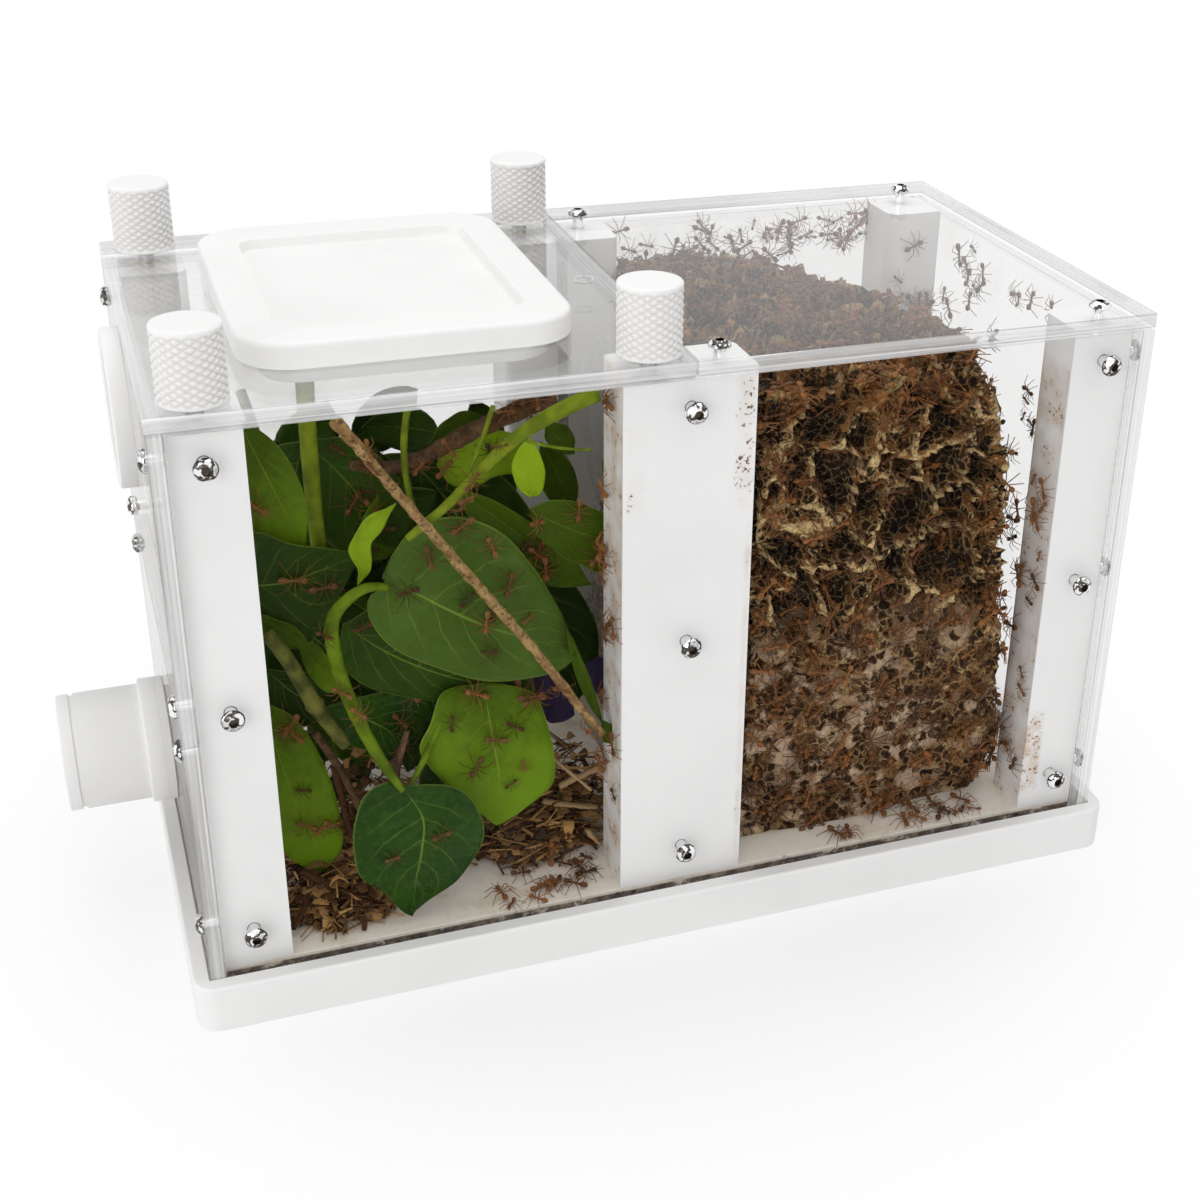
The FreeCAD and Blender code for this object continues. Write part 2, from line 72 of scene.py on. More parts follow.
class Term:
    """A value in a node graph that can be used in arithmetic."""

    def __init__(self, graph, socket):
        self.graph = graph
        self.socket = socket

    def __add__(self, other):
        return self.graph.maths("ADD", self, other)

    def __radd__(self, other):
        return self.graph.maths("ADD", other, self)

    def __sub__(self, other):
        return self.graph.maths("SUBTRACT", self, other)

    def __rsub__(self, other):
        return self.graph.maths("SUBTRACT", other, self)

    def __mul__(self, other):
        return self.graph.maths("MULTIPLY", self, other)

    def __rmul__(self, other):
        return self.graph.maths("MULTIPLY", other, self)

    def __truediv__(self, other):
        return self.graph.maths("DIVIDE", self, other)

    def __pow__(self, other):
        return self.graph.maths("POWER", self, other)

    def __abs__(self):
        return self.graph.maths("ABSOLUTE", self)

    def step(self, low, high):
        """0 below low, 1 above high, smooth between."""
        return self.graph.node(
            "ShaderNodeMapRange",
            {"interpolation_type": "SMOOTHSTEP"},
            {"Value": self, "From Min": low, "From Max": high},
        )

    def within(self, low, high, soft):
        """1 between low and high, fading out over soft at either end."""
        return self.step(low, low + soft) * (1 - self.step(high - soft, high))

    def wave(self):
        return self.graph.maths("SINE", self)


class Graph:
    """The emptied node tree of a material or world, refilled from expressions."""

    def __init__(self, owner):
        owner.use_nodes = True
        self.nodes = owner.node_tree.nodes
        self.links = owner.node_tree.links
        self.nodes.clear()

    def node(self, kind, settings=None, sockets=None, output=0):
        made = self.nodes.new(kind)
        for key, value in (settings or {}).items():
            if key == "stops":
                self.set_stops(made.color_ramp, value)
            else:
                setattr(made, key, value)
        for key, value in (sockets or {}).items():
            self.feed(made.inputs[key], value)
        return Term(self, made.outputs[output])

    def set_stops(self, ramp, stops):
        """Gives a ramp its stops, in rising order."""
        for index, (place, colour) in ((0, stops[0]), (1, stops[-1])):
            ramp.elements[index].position = place
            ramp.elements[index].color = (*colour, 1.0)
        for place, colour in stops[1:-1]:
            ramp.elements.new(place).color = (*colour, 1.0)

    def feed(self, socket, value):
        if isinstance(value, Term):
            self.links.new(value.socket, socket)
        elif hasattr(value, "__len__") and len(value) == 3 and socket.type == "RGBA":
            socket.default_value = (*value, 1.0)
        else:
            socket.default_value = value

    def maths(self, operation, *values):
        return self.node("ShaderNodeMath", {"operation": operation}, dict(enumerate(values)))

    def place(self):
        return self.node("ShaderNodeTexCoord", output="Object")

    def normal(self):
        return self.node("ShaderNodeTexCoord", output="Normal")

    def split(self, vector):
        return [self.node("ShaderNodeSeparateXYZ", None, {0: vector}, output=axis)
                for axis in "XYZ"]

    def attribute(self, name):
        return self.node("ShaderNodeAttribute", {"attribute_name": name}, output="Fac")

    def grain(self, size_mm, detail=2.0, vector=None, roughness=0.5):
        """Soft noise whose features are about size_mm across."""
        sockets = {
            "Vector": vector or self.place(),
            "Scale": 1.0 / (size_mm * MM),
            "Detail": detail,
            "Roughness": roughness,
        }
        return self.node("ShaderNodeTexNoise", None, sockets)

    def cells(self, size_mm, vector=None, feature="F1", output="Distance"):
        sockets = {"Vector": vector or self.place(), "Scale": 1.0 / (size_mm * MM)}
        return self.node("ShaderNodeTexVoronoi", {"feature": feature}, sockets, output=output)

    def blend(self, factor, low, high):
        """Mixes two colours."""
        return self.node(
            "ShaderNodeMix", {"data_type": "RGBA"}, {0: factor, 6: low, 7: high}, output=2
        )

    def ramp(self, factor, stops):
        return self.node("ShaderNodeValToRGB", {"stops": stops}, {0: factor})

    def relief(self, height, distance_mm, strength=1.0):
        sockets = {"Height": height, "Distance": distance_mm * MM, "Strength": strength}
        return self.node("ShaderNodeBump", None, sockets)

    def seen(self):
        """1 for rays that come from the camera or a mirror or clear surface."""
        camera, glossy, through = (
            self.node("ShaderNodeLightPath", output=name)
            for name in ("Is Camera Ray", "Is Glossy Ray", "Is Transmission Ray")
        )
        return self.maths("MAXIMUM", self.maths("MAXIMUM", camera, glossy), through)

    def show(self, kind, shader):
        """Ends the tree in an output node of this kind."""
        self.links.new(shader.socket, self.nodes.new(kind).inputs[0])


class Finish(Graph):
    """A named material with one Principled shader."""

    def __init__(self, name):
        self.material = bpy.data.materials.new(name)
        super().__init__(self.material)

    def surface(self, **sockets):
        """Adds the shader with these sockets, named with _ for a space."""
        shader = self.nodes.new("ShaderNodeBsdfPrincipled")
        names = {socket.name.lower().replace(" ", "_"): socket for socket in shader.inputs}
        for key, value in sockets.items():
            self.feed(names[key], value)
        self.show("ShaderNodeOutputMaterial", Term(self, shader.outputs[0]))
        return self.material


def scaled(colour, factor):
    """The colour made darker or lighter."""
    return tuple(min(channel * factor, 1.0) for channel in colour)


def white_plastic(name, colour, specks=()):
    """Printed white plastic: faint layer lines, painted shade in the knurl grooves and specks.

    specks has boxes as two corners in mm, with how dense the dots are and how strong the stain; on
    the posts' inner sides that brown is partly stain and partly painted shade.
    """
    finish = Finish(name)
    place = finish.place()
    x, y, z = finish.split(place)
    tone = finish.grain(26.0, 3.0, place)
    base = finish.blend(tone.step(0.35, 0.75), colour, scaled(colour, 0.965))
    fleck = finish.grain(1.1, 2.0, place, 0.6)
    scatter = finish.grain(6.0, 3.0, place)
    for low, high, amount, smear in specks:
        low, high = ([value * MM for value in corner] for corner in (low, high))
        inside = (
            x.within(low[0], high[0], 2 * MM)
            * z.within(low[2], high[2], 6 * MM)
            * y.within(low[1], high[1], MM)
        )
        dots = fleck.step(0.58, 0.63) * scatter.step(0.68 - amount * 0.2, 0.74 - amount * 0.2)
        base = finish.blend(dots * inside, base, (0.07, 0.025, 0.01))
        stain = (scatter * 0.6 + tone * 0.4).step(0.3, 0.75) * inside * smear
        base = finish.blend(stain, base, (0.5, 0.3, 0.13))
    # painted shade: the knurl grooves are darkened by how deep they are cut
    base = finish.blend(finish.attribute("groove") * 0.5, base, (0.58, 0.53, 0.5))
    layers = (z * (2 * math.pi / (0.25 * MM))).wave()
    height = layers * 0.5 + finish.grain(0.6, 2.0, place) * 0.6
    return finish.surface(
        base_color=base,
        roughness=0.42 + finish.grain(9.0, 2.0, place) * 0.14,
        normal=finish.relief(height, 0.02, 0.35),
        subsurface_weight=0.0,
        specular_ior_level=0.4,
    )


def clear_sheet(name, thin_axis, outer, haze=0.0, shine=1.0, dirt=1.0, film_tint_and_shade=(1.0, 1.0, 1.0)):
    """Clear polished sheet: faint mirrors on its faces, painted reflections as bright and dark
    lines on its edges.

    outer is how far the sheet's outer face lies from the origin along its thin axis.
    """
    finish = Finish(name)
    place = finish.place()
    facing = abs(finish.split(finish.normal())["XYZ".index(thin_axis)]).step(0.4, 0.6)
    edge = 1 - facing
    slant = finish.node("ShaderNodeLayerWeight", None, {"Blend": 0.5}, output="Facing")
    gloss = 0.04 + 0.96 * slant ** 5
    dust = finish.cells(2.6, place)
    spots = (1 - dust.step(0.05, 0.1)) * finish.grain(14.0, 3.0, place).step(0.52, 0.64)
    smear = finish.grain(38.0, 4.0, place, 0.62).step(0.5, 0.85)
    squash = [0.007, 0.007, 0.007]
    squash["XYZ".index(thin_axis)] = 1.0
    along = finish.node("ShaderNodeVectorMath", {"operation": "MULTIPLY"}, {0: place, 1: squash})
    streak = finish.grain(1.3, 3.0, along, 0.62)
    # painted reflections: bright and dark streaks along the edges
    edge_reflections = finish.ramp(streak, [
        (0.3, (0.2, 0.195, 0.19)), (0.4, (0.5, 0.49, 0.48)), (0.48, (0.88, 0.88, 0.88)),
        (0.56, (0.7, 0.7, 0.7)), (0.68, (0.97, 0.97, 0.97)),
    ])
    depth = (outer - abs(finish.split(place)["XYZ".index(thin_axis)])) * (1 / (SHEET_MM * MM))
    # painted reflections: bright and dark lines across the edge's thickness
    lines = finish.ramp(depth + streak * 0.16, [
        (0.0, (0.8, 0.8, 0.8)), (0.12, (0.22, 0.21, 0.2)), (0.2, (0.95, 0.95, 0.95)),
        (0.45, (0.72, 0.72, 0.72)), (0.6, (0.97, 0.97, 0.97)), (0.8, (0.62, 0.61, 0.6)),
        (0.9, (0.97, 0.97, 0.97)), (1.04, (0.16, 0.15, 0.15)),
    ])
    edge_reflections = finish.blend(0.6, edge_reflections, lines)
    face_cover = gloss * shine + (smear * 1.2 + 0.6) * haze + (smear * 0.02 + spots * 0.1) * dirt
    edge_cover = (0.5 + streak.step(0.4, 0.7) * 0.3) * (1 - finish.attribute("rim") * 0.96)
    # on the faces this colour is the sheet's tint, and on the back and end sheets also painted
    # shade
    body = finish.blend(edge, film_tint_and_shade, edge_reflections)
    body = finish.blend(spots * facing * 0.6, body, (0.45, 0.4, 0.35))
    return finish.surface(
        base_color=body,
        metallic=0.0 if film_tint_and_shade[0] < 1 else 1 - edge * 0.8,
        roughness=0.02 + edge * 0.1,
        alpha=finish.maths("MINIMUM", face_cover * facing + edge_cover * edge, 1.0),
    )


def dirty_floor_sheet(name):
    """The chamber floors: clear sheet over white, marked by ants and litter.

    Along its front edge dark lumps of dirt sit in the gap, and a broken dark line at the bottom is
    painted shadow of the gap above the tray.
    """
    finish = Finish(name)
    place = finish.place()
    _, y, z = finish.split(place)
    stain = finish.grain(13.0, 6.0, place, 0.65)
    scuff = finish.grain(1.4, 4.0, place, 0.7)
    crumbs = (1 - finish.cells(2.6, place).step(0.08, 0.2)) * stain.step(0.56, 0.68)
    front = 1 - y.step(-62.85 * MM, -62.3 * MM)
    # painted shadow: the thin dark line at the bottom of the front edge
    gap_shadow_line = 1 - z.step(11.1 * MM, 11.6 * MM)
    lumps = finish.grain(5.0, 4.0, place, 0.65)
    gap_dirt_and_shadow = front * (gap_shadow_line * lumps.step(0.3, 0.45) * 0.9 + lumps.step(0.6, 0.7) * 0.5)
    base = finish.ramp(stain, [
        (0.3, (0.96, 0.9, 0.81)), (0.52, (0.92, 0.84, 0.73)), (0.66, (0.78, 0.68, 0.55)),
        (0.8, (0.55, 0.43, 0.31)),
    ])
    base = finish.blend(scuff.step(0.56, 0.7) * 0.3, base, (0.4, 0.34, 0.28))
    base = finish.blend(crumbs * 0.8, base, (0.12, 0.06, 0.03))
    soil_and_shadow = finish.ramp(finish.grain(2.2, 3.0, place), [
        (0.38, (0.03, 0.022, 0.018)), (0.52, (0.09, 0.06, 0.04)), (0.66, (0.3, 0.22, 0.14))])
    base = finish.blend(gap_dirt_and_shadow, base, soil_and_shadow)
    return finish.surface(
        base_color=base,
        roughness=0.3 + scuff * 0.2,
        alpha=finish.maths("MINIMUM", 0.95 + crumbs + gap_dirt_and_shadow, 1.0),
    )


def polished_metal(name, colour, roughness, size_mm):
    """Metal with fine handling marks."""
    finish = Finish(name)
    marks = finish.grain(size_mm, 3.0)
    return finish.surface(
        base_color=finish.blend(marks, colour, scaled(colour, 0.8)),
        metallic=1.0,
        roughness=roughness + marks * 0.08,
        normal=finish.relief(marks, 0.01, 0.3),
    )


def chrome_with_painted_reflections(name):
    """Bright chrome with painted reflections as dark and bright patches on its dome, and painted
    shade in its socket; the shank is bright.
    """
    finish = Finish(name)
    marks = finish.grain(2.4, 1.5)
    fine = finish.grain(0.7, 2.0)
    # painted reflections: dark and bright patches that stand in for a room reflected in the dome
    tone = finish.ramp(marks + (fine - 0.5) * 0.06, [
        (0.3, (0.9, 0.9, 0.91)), (0.42, (0.85, 0.85, 0.86)), (0.45, (0.05, 0.045, 0.04)),
        (0.54, (0.1, 0.09, 0.08)), (0.57, (0.8, 0.8, 0.8)), (0.68, (0.35, 0.35, 0.36)),
        (0.78, (0.9, 0.92, 0.95)),
    ])
    # painted shade: the hex socket is darkened
    tone = finish.blend(finish.attribute("socket"), tone, (0.07, 0.055, 0.04))
    tone = finish.blend(finish.attribute("shank"), tone, (0.93, 0.93, 0.93))
    return finish.surface(
        base_color=tone, metallic=1.0, roughness=0.1 + fine * 0.08,
        normal=finish.relief(fine, 0.01, 0.3),
    )


def leaf_skin(name, deep, light, vein, vein_amount, gloss_rough, shine=0.03, stalk_shade=0.0):
    """Waxy leaf: a pale midrib that fades, fine side veins that run forward, mottled green.

    The last argument is how much lighter the blade is painted from stalk to tip: painted shade at
    the stalk end, which lies under the leaves above.
    """
    finish = Finish(name)
    along, across, _ = finish.split(finish.node("ShaderNodeUVMap", {"uv_map": "blade"}))
    shade = finish.attribute("shade")
    place = finish.place()
    side = abs(across - 0.5)
    broad = finish.grain(16.0, 3.0, place, 0.55)
    fine = finish.grain(2.2, 4.0, place, 0.6)
    wander = (finish.grain(9.0, 2.0, place) - 0.5) * 0.5
    rib = 1 - (side + wander * 0.012).step(0.003, 0.014)
    rib_fade = 1 - along.step(0.35, 0.95) * 0.75
    lane = finish.maths("FRACT", along * 6.5 - side * 5.0 + wander)
    side_vein = (1 - abs(lane - 0.5).step(0.008, 0.05)) * (1 - side.step(0.25, 0.48))
    web = 1 - finish.cells(2.4, place, "DISTANCE_TO_EDGE").step(0.0, 0.1)
    # painted shade: darker towards the stalk by the last argument
    mottle = broad * 0.8 + fine * 0.4 + shade * 0.6 + (along - 0.5) * stalk_shade
    green = finish.blend(mottle.step(0.35, 1.15), deep, light)
    green = finish.blend(side_vein * vein_amount * 0.5, green, vein)
    green = finish.blend(rib * rib_fade * vein_amount, green, vein)
    green = finish.blend(web * 0.035, green, vein)
    margin = side.step(0.485, 0.5)
    green = finish.blend(margin * 0.45, green, vein)
    pits = (1 - finish.cells(2.6, place).step(0.05, 0.12)) * broad.step(0.5, 0.6)
    green = finish.blend(pits * 0.85, green, (0.012, 0.018, 0.006))
    height = rib * 0.9 + side_vein * 0.5 + web * 0.12 + fine * 0.4 + broad * 1.4
    return finish.surface(
        base_color=green,
        roughness=gloss_rough + fine * 0.22,
        specular_ior_level=shine,
        normal=finish.relief(height, 0.3, 0.6),
    )


def stem_skin(name, light, dark):
    """Smooth green stem, mottled lighter and darker, with small scars."""
    finish = Finish(name)
    place = finish.place()
    length_grain = finish.grain(5.0, 3.0, place)
    base = finish.blend(length_grain.step(0.3, 0.7), dark, light)
    scar = (1 - finish.cells(3.0, place).step(0.05, 0.16)) * 0.6
    base = finish.blend(scar, base, (0.16, 0.13, 0.04))
    return finish.surface(
        base_color=base,
        specular_ior_level=0.05,
        roughness=0.4 + length_grain * 0.15,
        normal=finish.relief(length_grain + finish.grain(0.9, 2.0, place) * 0.3, 0.2, 0.5),
    )


def bark_skin(name, light, dark):
    """Dry bark: flecked, with fine pits."""
    finish = Finish(name)
    place = finish.place()
    broad = finish.grain(4.0, 5.0, place, 0.7)
    fleck = finish.grain(0.9, 3.0, place, 0.65).step(0.54, 0.62)
    base = finish.blend(broad.step(0.3, 0.7), dark, light)
    base = finish.blend(fleck * 0.75, base, (0.06, 0.03, 0.015))
    return finish.surface(
        base_color=base,
        specular_ior_level=0.1,
        roughness=0.72,
        normal=finish.relief(broad - fleck * 0.5, 0.45, 0.8),
    )


def comb_skin(name, cream, rust, cave_shade):
    """Fungus comb: cream ridges over caves and pits painted dark as shade above, crumbs and pale
    fluff below.
    """
    finish = Finish(name)
    place = finish.place()
    x, _, z = finish.split(place)
    ridge = finish.attribute("ridge")
    hollow = finish.attribute("hollow")
    crumb = finish.grain(1.5, 5.0, place, 0.72)
    warp = finish.node("ShaderNodeTexNoise", None, {"Vector": place, "Scale": 300.0}, output=1)
    bent = finish.node("ShaderNodeMix", {"data_type": "VECTOR"}, {0: 0.0024, 4: place, 5: warp},
                       output=1)
    fibre = finish.cells(2.7, bent, "DISTANCE_TO_EDGE")
    thread = 1 - fibre.step(0.03, 0.1)
    tone = finish.split(finish.cells(2.7, bent, "F1", "Color"))[0]
    patch = finish.grain(13.0, 3.0, place)
    low = 1 - z.step(58 * MM, 92 * MM)
    crown = 1 - z.step(132 * MM, 146 * MM) * 0.6
    warm = finish.blend(z.step(112 * MM, 132 * MM), rust, scaled(rust, 1.75))
    # painted shade: darker where the crumb bump is low
    base = finish.blend(crumb.step(0.35, 0.65), cave_shade, scaled(rust, 0.75))
    base = finish.blend((tone * 0.6 + crumb * 0.6).step(0.5, 0.85) * 0.9, base, warm)
    flakes = tone.step(0.55, 0.85) * crumb.step(0.45, 0.6) * (0.12 + low * 0.65)
    base = finish.blend(flakes, base, scaled(cream, 0.6))
    # painted shade: the small pits and the open caves are darkened towards near black
    pit = fibre.step(0.12, 0.24) * (1 - tone).step(0.25, 0.45)
    base = finish.blend(pit * (0.94 - low * 0.12), base, cave_shade)
    base = finish.blend(hollow.step(0.2, 0.75) * 0.94, base, cave_shade)
    torn = finish.grain(3.4, 3.0, place, 0.6).step(0.42, 0.56)
    lace = thread * crumb.step(0.4, 0.5) * (0.45 + patch * 0.5) * (1 - hollow * 0.6) * crown
    lace = lace * (1 - low * torn * 0.5)
    base = finish.blend(lace, base, scaled(cream, 1.05))
    crest = ridge.step(0.5, 0.8) * (0.3 + crumb.step(0.38, 0.5) * 0.7) * crown
    base = finish.blend(crest, base, scaled(cream, 1.25))
    beside, above = abs(x - 62 * MM), abs(z - 47 * MM)
    spot = (1 - beside.step(5 * MM, 17 * MM)) * (1 - above.step(2 * MM, 9 * MM))
    fluff = (tone * 0.7 + crumb * 0.5).step(0.45, 0.65)
    pale = (low * patch.step(0.46, 0.58) * 0.8 + spot) * fluff
    base = finish.blend(finish.maths("MINIMUM", pale, 1.0) * 0.9, base, (0.72, 0.52, 0.36))
    return finish.surface(
        base_color=base,
        roughness=0.8 - crumb * 0.2,
        specular_ior_level=0.1,
        normal=finish.relief(crumb + thread * 0.7 + tone * 0.3, 1.0, 1.0),
    )


def ant_skin(name, light, dark):
    """Ant cuticle: rust to dark brown, with a low shine."""
    finish = Finish(name)
    tone = finish.attribute("shade")
    speck = finish.grain(0.5, 2.0)
    base = finish.blend(tone, dark, light)
    return finish.surface(
        base_color=finish.blend(speck * 0.35, base, dark),
        specular_ior_level=0.2,
        roughness=0.38 + speck * 0.15,
        normal=finish.relief(speck, 0.05, 0.4),
    )


def straw_skin(name, light, dark):
    """Dry scraps: each piece has its own shade, with long grain."""
    finish = Finish(name)
    tone = finish.attribute("shade")
    fibre = finish.grain(1.1, 4.0)
    base = finish.blend(tone, dark, light)
    base = finish.blend(fibre.step(0.5, 0.75) * 0.6, base, dark)
    return finish.surface(
        base_color=base, roughness=0.7, specular_ior_level=0.1,
        normal=finish.relief(fibre, 0.3, 0.7),
    )


# ------------------------------------------------------------------- meshes


def link_object(name, data):
    """Adds an object to the scene."""
    made = bpy.data.objects.new(name, data)
    bpy.context.scene.collection.objects.link(made)
    return made


def put(name, bm, finish, body, stands_for=(), smooth=True):
    """Makes the mesh a piece that rides on a body."""
    mesh = bpy.data.meshes.new(name)
    bm.to_mesh(mesh)
    bm.free()
    mesh.polygons.foreach_set("use_smooth", [smooth] * len(mesh.polygons))
    mesh.materials.append(finish)
    made = link_object(name, mesh)
    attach(made, body)
    if stands_for:
        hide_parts(*stands_for)
    return made


def merged_copy(node):
    """A node's mesh with its doubles merged."""
    bm = bmesh.new()
    bm.from_mesh(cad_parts[node].data)
    bmesh.ops.remove_doubles(bm, verts=bm.verts, dist=MERGE)
    return bm


def add_copy(bm, mesh):
    """Copies a mesh into the bmesh and gives its points."""
    start = len(bm.verts)
    bm.from_mesh(mesh)
    bm.verts.ensure_lookup_table()
    return bm.verts[start:]


def as_shown(made):
    """The mesh that an object shows with its bevel or modifiers. The object goes."""
    bpy.context.view_layer.update()
    mesh = bpy.data.meshes.new_from_object(
        made.evaluated_get(bpy.context.evaluated_depsgraph_get())
    )
    bpy.data.objects.remove(made)
    bm = bmesh.new()
    bm.from_mesh(mesh)
    bpy.data.meshes.remove(mesh)
    return bm


def points_of(geometry):
    return [item for item in geometry if isinstance(item, bmesh.types.BMVert)]


def settle(bm, rim):
    """Sorts the rim faces by place, because the operators that add them keep no set order."""
    bm.faces.index_update()
    slots = sorted(face.index for face in rim)
    rim = sorted(rim, key=lambda face: tuple(face.calc_center_median()))
    ranks = dict(zip(rim, slots))
    bm.faces.sort(key=lambda face: ranks.get(face, face.index))


def clamp(value):
    return min(max(value, 0.0), 1.0)


def ease(low, high, value):
    """0 below low, 1 above high, smooth between."""
    t = clamp((value - low) / (high - low))
    return t * t * (3 - 2 * t)


def face_outwards(bm):
    """Turns a closed shell's faces to point out."""
    bmesh.ops.recalc_face_normals(bm, faces=bm.faces)
    if bm.calc_volume(signed=True) < 0:
        bmesh.ops.reverse_faces(bm, faces=bm.faces)


def sharpen(made, degrees=35.0):
    """Keeps edges steeper than this sharp while the rest is smooth."""
    mesh = made.data
    bm = bmesh.new()
    bm.from_mesh(mesh)
    limit = math.radians(degrees)
    for edge in bm.edges:
        if len(edge.link_faces) == 2 and edge.calc_face_angle(0.0) > limit:
            edge.smooth = False
    bm.to_mesh(mesh)
    bm.free()


def rounded_ring(bm, centre, length, width, radius, z, segments):
    """Edges of a level rounded rectangle."""
    corners = bmesh.ops.create_grid(bm, x_segments=1, y_segments=1, size=0.5)["verts"]
    bmesh.ops.scale(bm, vec=(length, width, 1.0), verts=corners)
    bmesh.ops.translate(bm, vec=(centre[0], centre[1], z), verts=corners)
    bmesh.ops.bevel(
        bm, geom=corners, offset=radius, offset_type="OFFSET", affect="VERTICES",
        segments=segments, profile=0.5, material=-1, clamp_overlap=False,
    )
    bmesh.ops.delete(bm, geom=bm.faces[:], context="FACES_ONLY")
    return bm.edges[:]


def corner_turn(place, centre, length, width, radius):
    """Which corner of a rounded rectangle a point belongs to, and its turn about it."""
    x, y = place.x - centre[0], place.y - centre[1]
    side_x, side_y = math.copysign(1, x), math.copysign(1, y)
    over_x = x - side_x * (length / 2 - radius)
    over_y = y - side_y * (width / 2 - radius)
    return side_x, side_y, math.atan2(over_y, over_x)


def stacked_loops(bm, centre, rows, segments=10):
    """Extrudes a rounded rectangle through rows of length, width, corner radius, z."""
    ring = rounded_ring(bm, centre, *rows[0], segments)
    first = list(ring)
    for before, after in zip(rows[:-1], rows[1:]):
        grown = bmesh.ops.extrude_edge_only(bm, edges=ring)["geom"]
        points = set(points_of(grown))
        ring = [item for item in grown
                if isinstance(item, bmesh.types.BMEdge) and set(item.verts) <= points]
        length, width, radius, z = after
        for point in points:
            side_x, side_y, turn = corner_turn(point.co, centre, *before[:3])
            point.co = (
                centre[0] + side_x * (length / 2 - radius) + radius * math.cos(turn),
                centre[1] + side_y * (width / 2 - radius) + radius * math.sin(turn),
                z,
            )
    bmesh.ops.edgeloop_fill(bm, edges=first)
    bmesh.ops.edgeloop_fill(bm, edges=ring)
    face_outwards(bm)


def turned(bm, rows, centre, axis, steps=64):
    """Spins a profile of radius and height rows round an axis through centre."""
    axis = Vector(axis).normalized()
    across = axis.orthogonal().normalized()
    points = [bm.verts.new(Vector(centre) + across * r + axis * h) for r, h in rows]
    closed = rows[0] == rows[-1]
    if closed:
        bm.verts.remove(points.pop())
    edges = [bm.edges.new(pair) for pair in zip(points[:-1], points[1:])]
    if closed:
        edges.append(bm.edges.new((points[-1], points[0])))
    bmesh.ops.spin(
        bm, geom=points + edges, cent=centre, axis=axis, angle=2 * math.pi,
        steps=steps, use_merge=True,
    )
    bmesh.ops.remove_doubles(bm, verts=bm.verts, dist=1e-7)
    face_outwards(bm)


def tube(name, points, radii, finish, stands_for, wobble=0.0, resolution=12):
    """A tapering smooth tube through points, as a mesh piece."""
    curve = bpy.data.curves.new(name + "_line", "CURVE")
    curve.dimensions = "3D"
    curve.resolution_u = resolution
    curve.bevel_depth = 1.0
    curve.bevel_resolution = 4
    curve.use_fill_caps = True
    spline = curve.splines.new("NURBS")
    spline.points.add(len(points) - 1)
    for point, place, radius in zip(spline.points, points, radii):
        point.co = (*[value * MM for value in place], 1.0)
        point.radius = radius * MM
    spline.order_u = 3
    spline.use_endpoint_u = True
    bm = as_shown(link_object(name + "_line", curve))
    bmesh.ops.remove_doubles(bm, verts=bm.verts, dist=MERGE)
    for vert in bm.verts:
        push = noise.noise(vert.co * 420.0) * wobble * MM
        vert.co += vert.normal * push
    return put(name, bm, finish, ROOT, stands_for)


